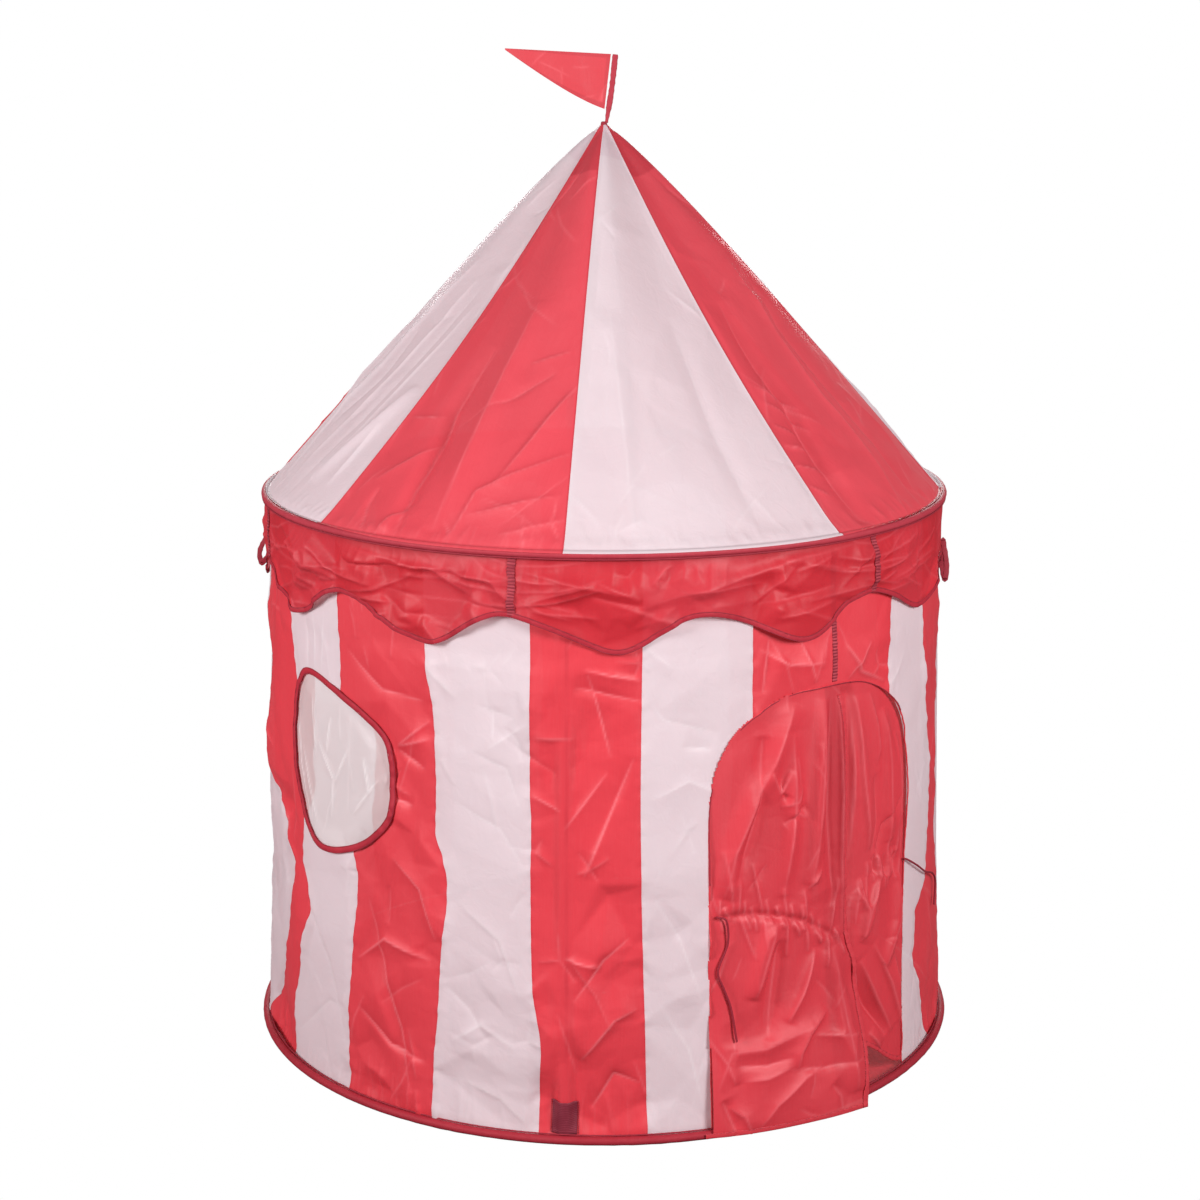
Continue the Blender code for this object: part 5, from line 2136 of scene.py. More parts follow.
@dataclass
class LeftCurtain(Curtain):
    """Front half: it hangs past the door's middle and kicks out over the ground hoop."""

    hem: float = 4 * MM
    flare_top: float = 0.20
    hem_radius_jamb: float = 0.5362
    hem_radius_edge: float = 0.5585

    def gather_height(self, across: Points) -> Points:
        """Height of the draw tape's casing, which sags to the free edge."""
        route = [(-0.186, 0.314), (-0.147, 0.316), (-0.088, 0.305), (-0.049, 0.292), (-0.012, 0.271),
                 (0.027, 0.246), (0.060, 0.220)]
        return eased_line(route, across)

    def edge(self, height: Points) -> Points:
        """Angle of the free edge."""
        route = [(0.0, 41.9), (0.104, 43.2), (0.205, 42.9), (0.26, 41.4), (0.378, 40.9),
                 (0.521, 41.1), (0.63, 39.6)]
        return eased_line(route, height)

    def shade(self, angle: Points, height: Points) -> Points:
        """Painted shade: how much darker the cloth is where the back half lies behind it."""
        overlap = smooth((angle - self.door.angle + 0.6) / 0.4)
        return 0.30 * overlap * mix(0.4, 1.0, smooth((height - 0.30) / 0.22))

    def skin(self, angle: Points, height: Points, above: float = 0.0) -> tuple[Points, Points]:
        """Points on the curtain and their pale crease marks.

        Args:
            angle: degrees round the tent.
            height: height above the floor.
            above: distance out of the cloth.

        Returns:
            Points, and pale crease marks from 0 to 1, partly wear and partly painted highlight.
        """
        jamb = self.door.angle - self.half_turn
        share = np.clip((angle - jamb) / (self.edge(height) - jamb), 0.0, 1.0)
        hem_radius = mix(self.hem_radius_jamb, self.hem_radius_edge, share ** 1.5)
        kick = smooth((self.flare_top - height) / self.flare_top)
        out, wear_and_sheen = self.folds.read(self.across(angle), height)
        sewn = smooth(-self.door.reach(angle, height) / 0.020)
        free = mix(0.5, 1.0, smooth((height - self.hem) / 0.02))
        # The loose end of the tie lies over the cloth, so no fold stands up under it
        by_tie = smooth((0.335 - height) / 0.02) * smooth((-0.138 - self.across(angle)) / 0.01)
        out = np.minimum(out, mix(12.0, 2.2, by_tie) * MM)
        lifted = np.maximum(out, -4 * MM) * sewn * free - MM * (1.0 - sewn)
        radius = mix(FORM.wall_radius(height), hem_radius, kick) + lifted + above
        return round_the_tent(radius, angle, height), wear_and_sheen

    def paint(self) -> FoldMap:
        """Paint the curtain's folds, from the door's middle and the floor.

        Returns:
            The painted map.
        """
        random = np.random.default_rng(71)
        folds = FoldMap(-0.20, 0.0, 0.27, 0.64)
        folds.facets(0.090, 3 * MM, random, 1.6)
        folds.facets(0.036, 1.2 * MM, random, 1.3, folds.patches(0.10, random))
        folds.soften(3)
        folds.paint_routes([
            (12, 16, (-55, 600), (-75, 560), (-120, 465), (-150, 405), (-165, 340)),
            (-9, 12, (-105, 560), (-110, 465), (-125, 420), (-145, 360)),
            (12, 14, (-5, 600), (-15, 455), (-20, 390), (-30, 340)),
            (-10.5, 7, (5, 600), (5, 430), (15, 300)),
            (10.5, 7, (20, 600), (25, 450), (25, 350), (30, 255)),
            (-7.5, 6, (35, 580), (35, 360), (35, 250)),
            (9, 13, (-60, 560), (-60, 440), (-75, 330)),
            (6, 7, (-185, 390), (-180, 345), (-170, 315)),
            (7.5, 8, (-165, 410), (-155, 350), (-150, 315)),
            (6.8, 7, (-95, 510), (-80, 480), (-65, 510)),
            (6, 7, (-80, 460), (-55, 465), (-45, 485)),
            (-6, 6, (-75, 435), (-35, 455)),
            (6, 6, (-35, 335), (-10, 360)),
            (12, 13, (-85, 300), (-105, 240), (-120, 190)),
            (10.5, 9, (-20, 245), (-45, 190), (-70, 150)),
            (10.5, 10, (-5, 155), (-40, 130), (-55, 105), (-60, 80)),
            (10.5, 14, (10, 240), (20, 160), (30, 30)),
            (-9, 13, (-80, 270), (-90, 200), (-100, 130)),
            (7.5, 8, (-190, 150), (-160, 105), (-150, 75)),
            (4.5, 12, (-175, 70), (-155, 120), (-110, 120), (-30, 140)),
            (-4, 9, (-150, 100), (-105, 95), (-65, 100)),
            (4, 9, (-140, 80), (-105, 80), (-65, 90)),
            (5, 10, (-120, 10), (-95, 40), (-50, 70), (-20, 80)),
            (6, 7, (-185, 205), (-170, 230), (-160, 260)),
            (-4, 9, (-75, 85), (-20, 75), (45, 75)),
            (-9, 7, (-170, 55), (-160, 30), (-150, 5)),
            (6, 7, (-160, 45), (-140, 30), (-130, 5)),
            (6, 8, (-30, 125), (45, 110)),
            (-7.5, 8, (-10, 50), (5, 30), (5, 5)),
        ], random)
        across = np.linspace(-0.186, 0.046, 12)
        casing = np.stack([across, self.gather_height(across)], axis=-1)
        folds.fold(casing, -5 * MM, 6 * MM, 0.0, 0.1, Crease.SOFT)
        for step in range(19):
            x = -0.18 + step * 0.0122 + random.uniform(-4, 4) * MM
            y = float(self.gather_height(np.array(x))) + random.uniform(-3, 3) * MM
            for side in (-1.0, 1.0):
                reach = random.uniform(0.010, 0.030) if step % 3 else random.uniform(0.04, 0.08)
                lean = random.uniform(-0.4, 0.4) * reach - side * 0.15 * reach
                route = [(x, y - side * 0.003), (x + lean, y + side * reach)]
                folds.chance_fold(route, (3.0, 5.5), (3.0, 5.0), 0.4, 0.4, random)
        folds.scatter(16, (0.02, 0.07), (0.8 * MM, 2.6 * MM), (3 * MM, 8 * MM), random, 0.3)
        return folds

    def build(self) -> None:
        """Make the curtain and its hems."""
        cell = FRONT_CELL * 0.9
        rows = round((self.head - self.hem) / cell)
        height = np.linspace(self.hem, self.head, rows + 1)[:, None]
        edge = self.edge(height)
        jamb = self.door.angle - self.half_turn
        columns = round(math.radians(float(edge.max()) - jamb) * self.mean_radius / cell)
        angle = mix(jamb, edge, np.linspace(0.0, 1.0, columns + 1)[None, :])
        height = np.broadcast_to(height, angle.shape)
        side_gap = np.radians(edge - angle) * self.mean_radius
        self.hang(angle, height, np.minimum(height - self.hem, side_gap))
        inset = math.degrees(1.0 / self.mean_radius)
        up = np.linspace(self.hem + MM, 0.60, 260)
        side = self.edge(up)
        rows_up = [(side - 7.6 * MM * inset, up)]
        self.trim("side_hem", side - 4.5 * MM * inset, up, 9 * MM, 0.25 * MM, rows_up)
        over = np.linspace(jamb + 0.4, float(self.edge(np.array([0.01]))[0]) - 0.2, 150)
        level = np.full_like(over, self.hem + 4 * MM)
        self.trim("foot_hem", over, level, 7.5 * MM, 0.3 * MM, [(over, level + 3 * MM)])


@dataclass
class RightCurtain(Curtain):
    """Back half: it hangs behind the front one, with its hem lifted off the floor."""

    hem_low: float = 0.014
    hem_rise: float = 0.060
    hem_corner: float = 0.184
    hem_run: float = 0.120
    set_back: float = 2.3 * MM
    tuck_depth: float = 7 * MM

    def hem_height(self, across: Points) -> Points:
        """Height of the lifted hem."""
        return self.hem_low + self.hem_rise * smooth((self.hem_corner - across) / self.hem_run)

    def skin(self, angle: Points, height: Points, above: float = 0.0) -> tuple[Points, Points]:
        """Points on the curtain and their pale crease marks.

        Args:
            angle: degrees round the tent.
            height: height above the floor.
            above: distance out of the cloth.

        Returns:
            Points, and pale crease marks from 0 to 1, partly wear and partly painted highlight.
        """
        across = self.across(angle)
        out, wear_and_sheen = self.folds.read(across, height)
        sewn = smooth(-self.door.reach(angle, height) / 0.020)
        # Its free edge is tucked behind the front half
        under = smooth((0.060 - across) / 0.014)
        lifted = np.minimum(out, 9 * MM) * sewn * (1.0 - 0.7 * under) - self.tuck_depth * under * sewn
        radius = FORM.wall_radius(height) - self.set_back + lifted + above
        return round_the_tent(radius, angle, height), wear_and_sheen

    def paint(self) -> FoldMap:
        """Paint the curtain's folds, from the door's middle and the floor.

        Returns:
            The painted map.
        """
        random = np.random.default_rng(83)
        folds = FoldMap(-0.03, 0.0, 0.24, 0.64)
        folds.facets(0.060, 2.6 * MM, random, 1.8)
        folds.soften(3)
        folds.paint_routes([
            (6, 7, (90, 590), (105, 540), (110, 505), (105, 485)),
            (-7.5, 7, (170, 430), (125, 390), (110, 345)),
            (10.5, 9, (60, 590), (70, 480), (80, 420), (90, 360)),
            (9, 7, (50, 590), (55, 485), (50, 350)),
            (10.5, 12, (120, 560), (135, 480), (140, 360)),
            (-7.5, 9, (100, 470), (110, 400), (100, 350)),
            (9, 10, (155, 520), (165, 430), (160, 350)),
            (-9, 5, (105, 350), (105, 320)),
            (-9, 5, (130, 345), (130, 310)),
            (-9, 5, (155, 340), (160, 305)),
            (7.5, 5, (115, 350), (120, 310)),
            (7.5, 5, (145, 345), (145, 305)),
            (10.5, 8, (65, 310), (85, 275), (75, 235)),
            (12, 10, (120, 320), (90, 275), (70, 230)),
            (-13.5, 11, (55, 200), (90, 130), (135, 70)),
            (9, 9, (75, 200), (110, 135), (150, 70)),
            (6, 7, (95, 85), (120, 55)),
            (10.5, 12, (170, 305), (165, 235), (125, 180)),
            (-6, 6, (190, 215), (130, 215)),
            (9, 10, (100, 220), (140, 150), (175, 70)),
            (9, 9, (150, 200), (170, 120), (190, 40)),
        ], random)
        for step in range(13):
            x = 0.040 + step * 0.0122 + random.uniform(-2, 2) * MM
            y = 0.286 + 0.045 * float(smooth((x - 0.05) / 0.05))
            for side in (-1.0, 1.0):
                reach = random.uniform(0.012, 0.045)
                lean = random.uniform(-0.3, 0.3) * reach
                route = [(x, y - side * 0.003), (x + lean, y + side * reach)]
                folds.chance_fold(route, (2.5, 5.0), (3.0, 4.5), 0.4, 0.4, random)
        return folds

    def build(self) -> None:
        """Make the curtain and its hem."""
        cell = FRONT_CELL * 0.9
        left_angle = self.door.angle - 0.6
        right_angle = self.door.angle + self.half_turn
        columns = round(math.radians(right_angle - left_angle) * self.mean_radius / cell)
        rows = round(0.61 / cell)
        angle = np.linspace(left_angle, right_angle, columns + 1)[None, :]
        foot = self.hem_height(self.across(angle))
        height = mix(foot, self.head, np.linspace(0.0, 1.0, rows + 1)[:, None])
        angle = np.broadcast_to(angle, height.shape)
        self.hang(angle, height, height - foot)
        over = np.linspace(left_angle + 0.4, right_angle - 0.6, 130)
        level = self.hem_height(self.across(over)) + 4 * MM
        self.trim("foot_hem", over, level, 7.5 * MM, 0.3 * MM, [(over, level + 3 * MM)])


# The door as a whole


@dataclass
class Door:
    """Arched door: piping, two curtains and the loose ends of their draw tapes."""

    wall: Wall
    finishes: Finishes
    tie_width: float = 3 * MM
    closing_angle: float = 38.3
    closing_foot: float = 0.621
    closing_head: float = 0.80
    # Heights from which the painted shadow line over the arch runs, left and right
    arch_shadow_from: tuple[float, float] = (0.36, 0.55)

    def ties(self) -> None:
        """Make the ties' loose ends along their own routes."""
        # Radius, angle and height of each point
        left_route = [(0.5122, 17.3, 0.316), (0.5165, 17.4, 0.317), (0.5185, 18.6, 0.311),
                      (0.5170, 18.9, 0.278), (0.5170, 17.4, 0.240), (0.5185, 18.3, 0.214),
                      (0.5205, 19.4, 0.185), (0.5255, 20.2, 0.137)]
        right_route = [(0.5097, 57.2, 0.323), (0.5150, 57.5, 0.323), (0.5175, 61.0, 0.305),
                       (0.5165, 66.0, 0.280), (0.5165, 71.0, 0.262), (0.5170, 74.0, 0.240),
                       (0.5175, 73.0, 0.206)]
        for side, route in (("left", left_route), ("right", right_route)):
            points = [round_the_tent(*place) for place in route]
            line = curve_through(points, 70)
            curve = bpy.data.curves.new(f"tie_{side}", "CURVE")
            curve.dimensions = "3D"
            curve.bevel_depth = self.tie_width / 2.0
            curve.bevel_resolution = 2
            curve.use_fill_caps = True
            spline = curve.splines.new("POLY")
            spline.points.add(len(line) - 1)
            for point, place in zip(spline.points, line):
                point.co = (*place, 1.0)
            curve.materials.append(self.finishes.tape)
            piece = bpy.data.objects.new(f"tie_{side}", curve)
            bpy.context.scene.collection.objects.link(piece)
            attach(piece, BODY)
            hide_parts(f"curtain_tie_{side}")

    def piping(self) -> None:
        """Bind the arch's edge."""
        door = self.wall.openings[0]
        arch = door.outline[:-2]
        foot = 6 * MM
        route = np.array([(arch[0][0], foot), *arch, (arch[-1][0], foot)])
        line = []
        for start, end in zip(route[:-1], route[1:]):
            steps = max(1, round(float(np.hypot(*(end - start))) / (4 * MM)))
            line += [mix(start, end, step / steps) for step in range(steps)]
        spots = np.array(line)
        angle, height = door.place(spots[:, 0], spots[:, 1])
        points = self.wall.skin(angle, height, 0.2 * MM)
        out = outward(angle)
        run = TapeRun(2.6 * MM, 1.8 * MM, ripple=0.2 * MM, ripple_length=17 * MM)
        settle(run.build("door_piping", points, out, self.finishes.red), Slot.RED)
        # A dark line over the arch, a painted shadow, comes down lower on the left than on the right
        top = height > np.where(angle < door.angle, *self.arch_shadow_from)
        line = points[top] + out[top] * 1.3 * MM
        shadow = TapeRun(1.4 * MM, MM, sides=6)
        settle(shadow.build("door_arch_shadow_line", line, out[top], self.finishes.tape), Slot.TAPE)

    def closing_seam(self) -> None:
        """Sew the ruched seam over the arch, where the wall's two ends meet."""
        height = np.linspace(self.closing_foot, self.closing_head, 120)
        angle = self.closing_angle + 0.05 * np.sin(150.0 * height)
        points = self.wall.skin(angle, height, 0.5 * MM)
        out = outward(angle)
        run = TapeRun(10 * MM, 1.5 * MM, ripple=0.5 * MM, ripple_length=4.4 * MM)
        settle(run.build("closing_seam", points, out, self.finishes.gather), Slot.TAPE)

    def build(self) -> None:
        """Make the piping, the closing seam and both curtains."""
        self.piping()
        self.closing_seam()
        LeftCurtain("cloth_curtain_left", "door_curtain_left", self.wall, self.finishes).build()
        RightCurtain("cloth_curtain_right", "door_curtain_right", self.wall, self.finishes).build()


# Window


@dataclass
class Window:
    """Oval window: a binding round its edge and a net across it."""

    wall: Wall
    finishes: Finishes
    net_cell: float = 0.003

    def binding(self) -> None:
        """Bind the oval's edge with a wide folded tape."""
        window = self.wall.openings[1]
        outline = window.outline
        centre = outline.mean(axis=0)
        away = outline - centre
        spots = centre + away * (1.0 + 2 * MM / np.hypot(away[:, 0], away[:, 1])[:, None])
        angle, height = window.place(spots[:, 0], spots[:, 1])
        points = self.wall.skin(angle, height, 2.4 * MM)
        out = outward(angle)
        closed = curve_through(np.vstack([points, points[:1]]), 288)[:-1]
        facing = curve_through(np.vstack([out, out[:1]]), 288)[:-1]
        run = TapeRun(9 * MM, 3.4 * MM, closed=True, ripple=0.35 * MM, ripple_length=16 * MM)
        piece = edged_tape("window_frame_tape", closed, facing, run, self.finishes.binding,
                           self.finishes.tape)
        settle(piece, Slot.TAPE, "window_binding")

    def net(self) -> None:
        """Stretch the net across the oval."""
        window = self.wall.openings[1]
        low = window.outline.min(axis=0) - 4 * MM
        high = window.outline.max(axis=0) + 4 * MM
        spread = high - low
        columns, rows = (round(size / self.net_cell) for size in spread)
        across = np.linspace(low[0], high[0], columns + 1)[None, :]
        up = np.linspace(low[1], high[1], rows + 1)[:, None]
        angle, height = window.place(*np.broadcast_arrays(across, up))
        reach = window.reach(angle, height)
        keep = (reach[:-1, :-1] < 2 * MM) & (reach[1:, 1:] < 2 * MM)
        random = np.random.default_rng(97)
        folds = FoldMap(*low, *spread)
        folds.facets(0.050, 1.2 * MM, random, 1.8)
        folds.soften(4)
        folds.scatter(8, (0.05, 0.14), (0.8 * MM, 1.8 * MM), (3 * MM, 6 * MM), random, 0.7)
        # The net's own creases, as shares of its width and height
        for route in (((0.05, 0.83), (0.10, 0.45), (0.22, 0.10)), ((0.12, 0.55), (0.30, 0.12)),
                      ((0.30, 0.62), (0.47, 0.42), (0.45, 0.18)), ((0.62, 0.63), (0.48, 0.40)),
                      ((0.88, 0.50), (0.65, 0.25)), ((0.25, 0.90), (0.28, 0.50)),
                      ((0.45, 0.78), (0.40, 0.55)), ((0.75, 0.60), (0.80, 0.40))):
            folds.fold([low + spread * np.array(place) for place in route], 3 * MM, 4.5 * MM, 0.4, 0.8)
        out, wear_and_sheen = folds.read(*np.broadcast_arrays(across, up))
        taut = smooth(-reach / 0.03)
        wall_out, _ = self.wall.offset(angle, height)
        radius = FORM.wall_radius(height) + mix(wall_out, out - MM, taut)
        flat = np.stack(np.broadcast_arrays(across, up), axis=-1)
        cloth = Cloth(round_the_tent(radius, angle, height), flat, {"wear_and_sheen": wear_and_sheen}, keep)
        piece = cloth.build("net_panel", self.finishes.net)
        settle(piece, Slot.NET, "window_net")
        declare_sheet(cloth)

    def build(self) -> None:
        """Make the binding and the net."""
        self.binding()
        self.net()


# Flag


@dataclass
class Flag:
    """Pennant on its bound stick."""

    finishes: Finishes
    flat_size: tuple[float, float] = (0.155, 0.084)
    tip: tuple[float, float] = (-0.1425, 1.4535)
    belly: tuple[float, float] = (-0.0460, 1.3850)
    hoist_bottom: tuple[float, float] = (0.0008, 1.3700)
    hoist_top: tuple[float, float] = (0.0100, 1.4475)
    foot: tuple[float, float] = (0.0035, 1.3516)
    head: tuple[float, float] = (0.0165, 1.4460)

    def pennant(self) -> None:
        """Make the pennant as one soft sheet."""
        columns, rows = 64, 34
        u = np.linspace(0.0, 1.0, columns + 1)[None, :]
        v = np.linspace(0.0, 1.0, rows + 1)[:, None]
        # A bowed lower edge, a straight upper one and a wave that dies out at the stick
        low = []
        top = []
        for axis in (0, 1):
            first = mix(self.tip[axis], self.belly[axis], u)
            low.append(mix(first, mix(self.belly[axis], self.hoist_bottom[axis], u), u))
            top.append(mix(self.tip[axis] + 2 * MM * axis, self.hoist_top[axis], u))
        x = mix(low[0], top[0], v)
        z = mix(low[1], top[1], v)
        wave = 3 * MM * np.sin(2.5 * math.pi * u) * (1.0 - u * u)
        folds = FoldMap(-0.15, 1.36, 0.17, 0.10, MM)
        random = np.random.default_rng(5)
        folds.facets(0.030, 0.7 * MM, random)
        folds.soften(3)
        folds.scatter(9, (0.02, 0.06), (0.3 * MM, MM), (3 * MM, 6 * MM), random)
        out, wear_and_sheen = folds.read(x, z)
        y = wave - out * smooth((1.0 - u) / 0.1)
        points = np.stack(np.broadcast_arrays(x, y, z), axis=-1)
        flat = np.stack(np.broadcast_arrays(x, z), axis=-1)
        # Hems along both long edges and the stick's side show darker
        hem = 0.35 * (v < 0.09) + 0.35 * (v > 0.93) + 0.3 * (u > 0.955)
        doubled_and_shade = np.clip(np.broadcast_to(hem, x.shape), 0.0, 0.4)
        cloth = Cloth(points, flat, {"wear_and_sheen": wear_and_sheen, "doubled_and_shade": doubled_and_shade})
        piece = cloth.build("cloth_pennant", self.finishes.flag)
        settle(piece, Slot.RED, "pennant")

    def staff(self) -> None:
        """Make the pennant's sleeve, gathered at its foot where it is bound to the roof's tip."""
        foot = np.array([self.foot[0], 0.0, self.foot[1] - MM])
        head = np.array([self.head[0], 0.0, self.head[1] + MM])
        bow = (foot + head) / 2.0 + np.array([1.2 * MM, 0.0, 0.0])
        line = curve_through([foot, bow, head], 60)
        out = np.tile([0.0, -1.0, 0.0], (len(line), 1))
        run = TapeRun(9 * MM, 7 * MM, ripple=0.35 * MM, ripple_length=19 * MM,
                      start_share=0.62, sides=16)
        settle(run.build("flag_staff", line, out, self.finishes.sleeve), Slot.TAPE, "flag_stick")

    def build(self) -> None:
        """Make the pennant and its stick."""
        self.staff()
        self.pennant()


# Small parts


@dataclass
class SmallParts:
    """Rods' pockets, eave loops, stitching of the hoops, the sewn-in floor and the rods' finish."""

    wall: Wall
    finishes: Finishes
    pocket_foot: float = 0.0125
    pocket_head: float = 0.058
    pocket_half: float = 0.0175
    pocket_radius: float = 0.52

    def pockets(self) -> None:
        """Make the four stitched pockets at the rods' feet."""
        columns, rows = 14, 17
        for index, side in enumerate(("front", "right", "back", "left")):
            centre = FORM.pole_angle + index * FULL_TURN / FORM.poles
            height = np.linspace(self.pocket_foot, self.pocket_head, rows + 1)[:, None]
            half = np.degrees(self.pocket_half / FORM.wall_radius(height))
            share = np.linspace(-1.0, 1.0, columns + 1)[None, :]
            angle = centre + half * share
            height = np.broadcast_to(height, angle.shape)
            bulge = 1.1 * MM * (1.0 - share ** 2) ** 0.7
            points = self.wall.skin(angle, height)
            out = outward(angle)
            points = points + out * (MM + bulge)[..., None]
            flat = np.stack([np.radians(angle) * self.pocket_radius, height], axis=-1)
            cloth = Cloth(points, flat)
            piece = cloth.build(f"pocket_{side}", self.finishes.webbing)
            thick = piece.modifiers.new("webbing", "SOLIDIFY")
            thick.thickness = MM
            thick.offset = 1.0
            bpy.context.view_layer.objects.active = piece
            bpy.ops.object.modifier_apply(modifier="webbing")
            settle(piece, Slot.TAPE, f"pole_pocket_{side}")
            for edge in (-1.0, 1.0):
                turn = centre + edge * 1.10 * half[:, 0]
                row = self.wall.skin(turn, height[:, 0], 0.6 * MM)
                stitches = Stitches(2.6 * MM, 1.5 * MM, 0.6 * MM)
                name = f"pocket_stitches_{side}_{'left' if edge < 0.0 else 'right'}"
                settle(stitches.build(name, row, out[:, 0], self.finishes.thread), Slot.TAPE)

    def loops(self) -> None:
        """Make the two tape loops that hang from the eave, the left one hanging free."""
        for side, turn, reach, lean in (("left", -1.0, 9.4 * MM, 23 * MM),
                                        ("right", 1.0, 3.6 * MM, 4.7 * MM)):
            node = f"eave_loop_{side}"
            low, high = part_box(node)
            angle = FORM.pole_angle + turn * FULL_TURN / FORM.poles
            spin = np.linspace(0.0, math.tau, 72, endpoint=False)
            down = (1.0 - np.sin(spin)) / 2.0
            open_share = np.sin(math.pi * down ** 1.4) ** 0.8
            across = np.sign(np.cos(spin)) * open_share * reach * np.abs(np.cos(spin)) ** 0.3
            radius = FORM.eave_middle + 2.5 * MM + across + lean * down
            height = mix(high.z - MM, low.z + MM, down)
            line = round_the_tent(radius, angle + 0.25 * np.sin(spin), height)
            facing = line - line.mean(axis=0)
            facing /= np.linalg.norm(facing, axis=1)[:, None]
            forward = np.array([0.0, -1.0, 0.15])
            run = TapeRun(9 * MM, 1.3 * MM, closed=True, ripple=0.2 * MM, ripple_length=23 * MM)
            piece = run.build(f"tape_loop_{side}", line, 0.35 * facing + forward, self.finishes.tape)
            settle(piece, Slot.TAPE, node)

    def seam_lines(self) -> None:
        """Run the dark stitching round both hoop sleeves."""
        angle = np.linspace(0.0, FULL_TURN, 720, endpoint=False)
        out = round_the_tent(np.ones_like(angle), angle, np.full_like(angle, 0.3))
        eave = (FORM.eave_middle + 3.4 * MM, FORM.eave_height - FORM.eave_half + 0.4 * MM)
        ground = (FORM.ground_reach - 2.0 * FORM.ground_half + 2.2 * MM, 2.0 * FORM.ground_half - 0.3 * MM)
        run = TapeRun(2.2 * MM, 1.4 * MM, closed=True, ripple=0.2 * MM, ripple_length=13 * MM, sides=6)
        for name, (radius, height) in (("eave_stitching", eave), ("ground_stitching", ground)):
            line = round_the_tent(np.full_like(angle, radius), angle, height)
            settle(run.build(name, line, out, self.finishes.tape), Slot.TAPE)

    def floor(self) -> None:
        """Make the sewn-in floor as a round sheet with soft wrinkles."""
        rings, spokes = 60, 180
        reach = FORM.ground_reach - 2.0 * FORM.ground_half - MM
        radius = np.linspace(0.004, reach, rings + 1)[:, None]
        angle = np.linspace(0.0, FULL_TURN, spokes + 1)[None, :]
        turn = np.radians(angle)
        x = radius * np.sin(turn)
        y = -radius * np.cos(turn)
        random = np.random.default_rng(61)
        map_half = 0.53
        folds = FoldMap(-map_half, -map_half, 2.0 * map_half, 2.0 * map_half, 3 * MM)
        folds.facets(0.16, 1.5 * MM, random)
        folds.scatter(40, (0.08, 0.3), (0.8 * MM, 2 * MM), (8 * MM, 16 * MM), random)
        folds.soften(4)
        out, wear_and_sheen = folds.read(x, y)
        height = 1.2 * MM + np.maximum(out, -0.6 * MM) * smooth((reach - radius) / 0.03)
        points = np.stack([x, y, height], axis=-1)
        flat = np.stack([x, y], axis=-1)
        cloth = Cloth(points, flat, {"wear_and_sheen": wear_and_sheen, "doubled_and_shade": np.zeros_like(x)})
        piece = cloth.build("cloth_floor", self.finishes.red)
        settle(piece, Slot.RED, "ground_sheet")

    def rods(self) -> None:
        """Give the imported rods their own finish."""
        for side in ("front", "right", "back", "left"):
            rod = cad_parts[f"pole_{side}"]
            rod.data.materials.clear()
            rod.data.materials.append(self.finishes.rod)

    def build(self) -> None:
        """Make them all."""
        self.pockets()
        self.loops()
        self.seam_lines()
        self.floor()
        self.rods()


# Studio


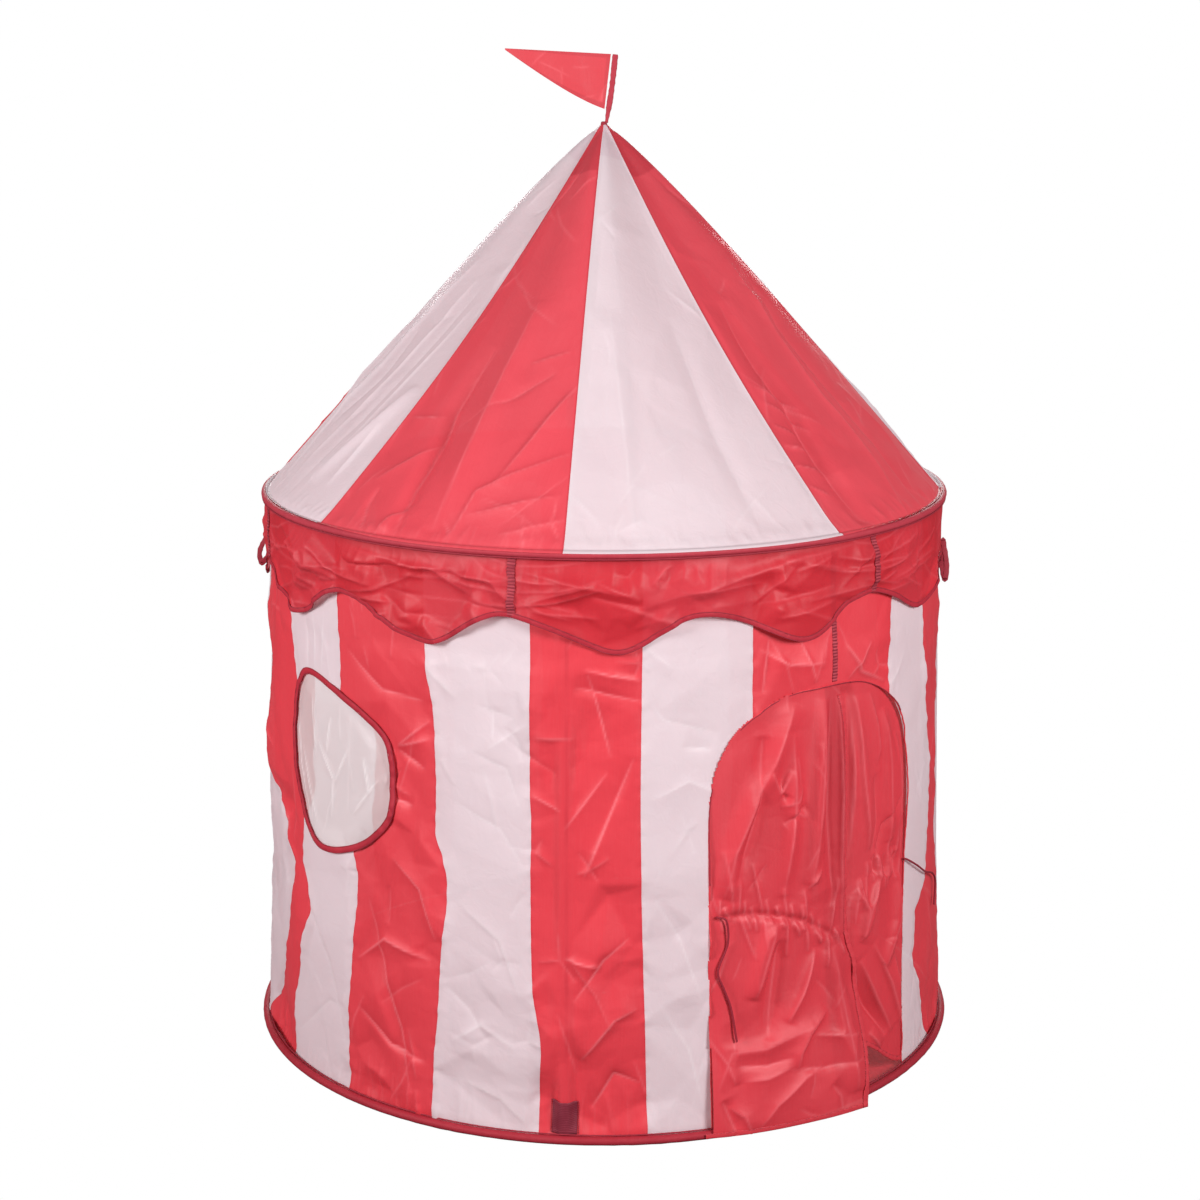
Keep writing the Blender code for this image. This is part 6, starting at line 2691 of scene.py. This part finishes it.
@dataclass
class Studio:
    """Camera, lights, white world and pale floor."""

    camera_place: tuple[float, float, float] = (0.0, -3.46998, 1.46860)
    pitch_down: float = 13.44
    focal_length: float = 70.44
    sensor: float = 36.0
    shift: float = -0.0033
    lamp_distance: float = 3.4
    lamp_size: float = 1.1
    world_light: float = 0.24

    def camera(self) -> None:
        """Set the camera where the photograph was taken from."""
        data = bpy.data.cameras.new("camera")
        data.lens = self.focal_length
        data.sensor_width = self.sensor
        data.shift_x = self.shift
        camera = bpy.data.objects.new("camera", data)
        camera.location = self.camera_place
        camera.rotation_euler = (math.radians(90.0 - self.pitch_down), 0.0, 0.0)
        bpy.context.scene.collection.objects.link(camera)
        bpy.context.scene.camera = camera

    def lamp(self, name: str, turn: float, lift: float, light_on_tent: float) -> None:
        """Light the tent by a large soft box that faces its middle.

        Args:
            name: the lamp's name.
            turn: degrees round from the front towards +X.
            lift: degrees above the tent's middle.
            light_on_tent: watts per square metre that reach the tent.
        """
        light = bpy.data.lights.new(name, "AREA")
        light.shape = "DISK"
        light.size = self.lamp_size
        light.energy = light_on_tent * math.pi * self.lamp_distance ** 2
        lamp = bpy.data.objects.new(name, light)
        level = math.cos(math.radians(lift))
        away = Vector((level * math.sin(math.radians(turn)), -level * math.cos(math.radians(turn)),
                       math.sin(math.radians(lift))))
        lamp.location = away * self.lamp_distance + Vector((0.0, 0.0, 0.75))
        lamp.rotation_euler = away.to_track_quat("Z", "Y").to_euler()
        bpy.context.scene.collection.objects.link(lamp)

    def backdrop(self) -> None:
        """Make the world and the floor."""
        world = bpy.data.worlds.new("white studio")
        world.use_nodes = True
        tree = world.node_tree
        tree.nodes.clear()
        # The camera sees pure white, and the tent gets a softer light from all round
        white = linear("FFFFFF")
        lit = add_node(tree, "Background", {"Color": white, "Strength": self.world_light})
        seen = add_node(tree, "Background", {"Color": white, "Strength": 1.0})
        path = add_node(tree, "LightPath")
        both = add_node(tree, "MixShader", {0: path, 1: lit, 2: seen})
        add_node(tree, "OutputWorld", {"Surface": both})
        bpy.context.scene.world = world
        # The floor is as white to the camera, but lights the tent only as much as a grey one would
        material, tree = start_material("matt white studio floor")
        matt = add_node(tree, "BsdfPrincipled", {
            "Base Color": linear("6C6668"), "Roughness": 0.9, "Specular IOR Level": 0.2,
        })
        bright = add_node(tree, "Emission", {"Color": white, "Strength": 1.0})
        path = add_node(tree, "LightPath")
        both = add_node(tree, "MixShader", {0: path, 1: matt, 2: bright})
        add_node(tree, "OutputMaterial", {"Surface": both})
        bpy.ops.object.select_all(action="DESELECT")
        bpy.ops.mesh.primitive_plane_add(size=60.0, location=(0.0, 0.0, -0.5 * MM))
        floor = bpy.context.object
        floor.name = "studio_floor"
        floor.data.materials.append(material)

    def build(self) -> None:
        """Set up the studio."""
        for name, turn, lift, light in (("left box", -50.0, 17.0, 2.93), ("right box", 40.0, 17.0, 2.97),
                                        ("back left", -166.0, 18.0, 1.5), ("back right", 164.0, 18.0, 1.6)):
            self.lamp(name, turn, lift, light)
        self.backdrop()
        bpy.context.scene.view_settings.view_transform = "Standard"


def main() -> None:
    """Dress the tent, piece by piece, and report on each."""
    logging.basicConfig(level=logging.INFO, format="%(message)s")
    studio = Studio()
    studio.camera()
    finishes = Finishes()
    wall = Wall(finishes)
    door = Door(wall, finishes)
    door.ties()
    HoopBand("eave_band", "eave_hoop", FORM.eave_middle, FORM.eave_half, FORM.eave_height,
             finishes.sleeve, Slot.TAPE).build()
    HoopBand("ground_band", "ground_hoop", FORM.ground_reach - FORM.ground_half, FORM.ground_half,
             FORM.ground_half, finishes.ground_sleeve, Slot.TAPE).build()
    wall.build()
    door.build()
    Window(wall, finishes).build()
    Valance(finishes).build()
    Roof(finishes).build()
    Flag(finishes).build()
    SmallParts(wall, finishes).build()
    studio.build()


if __name__ == "__main__":
    main()
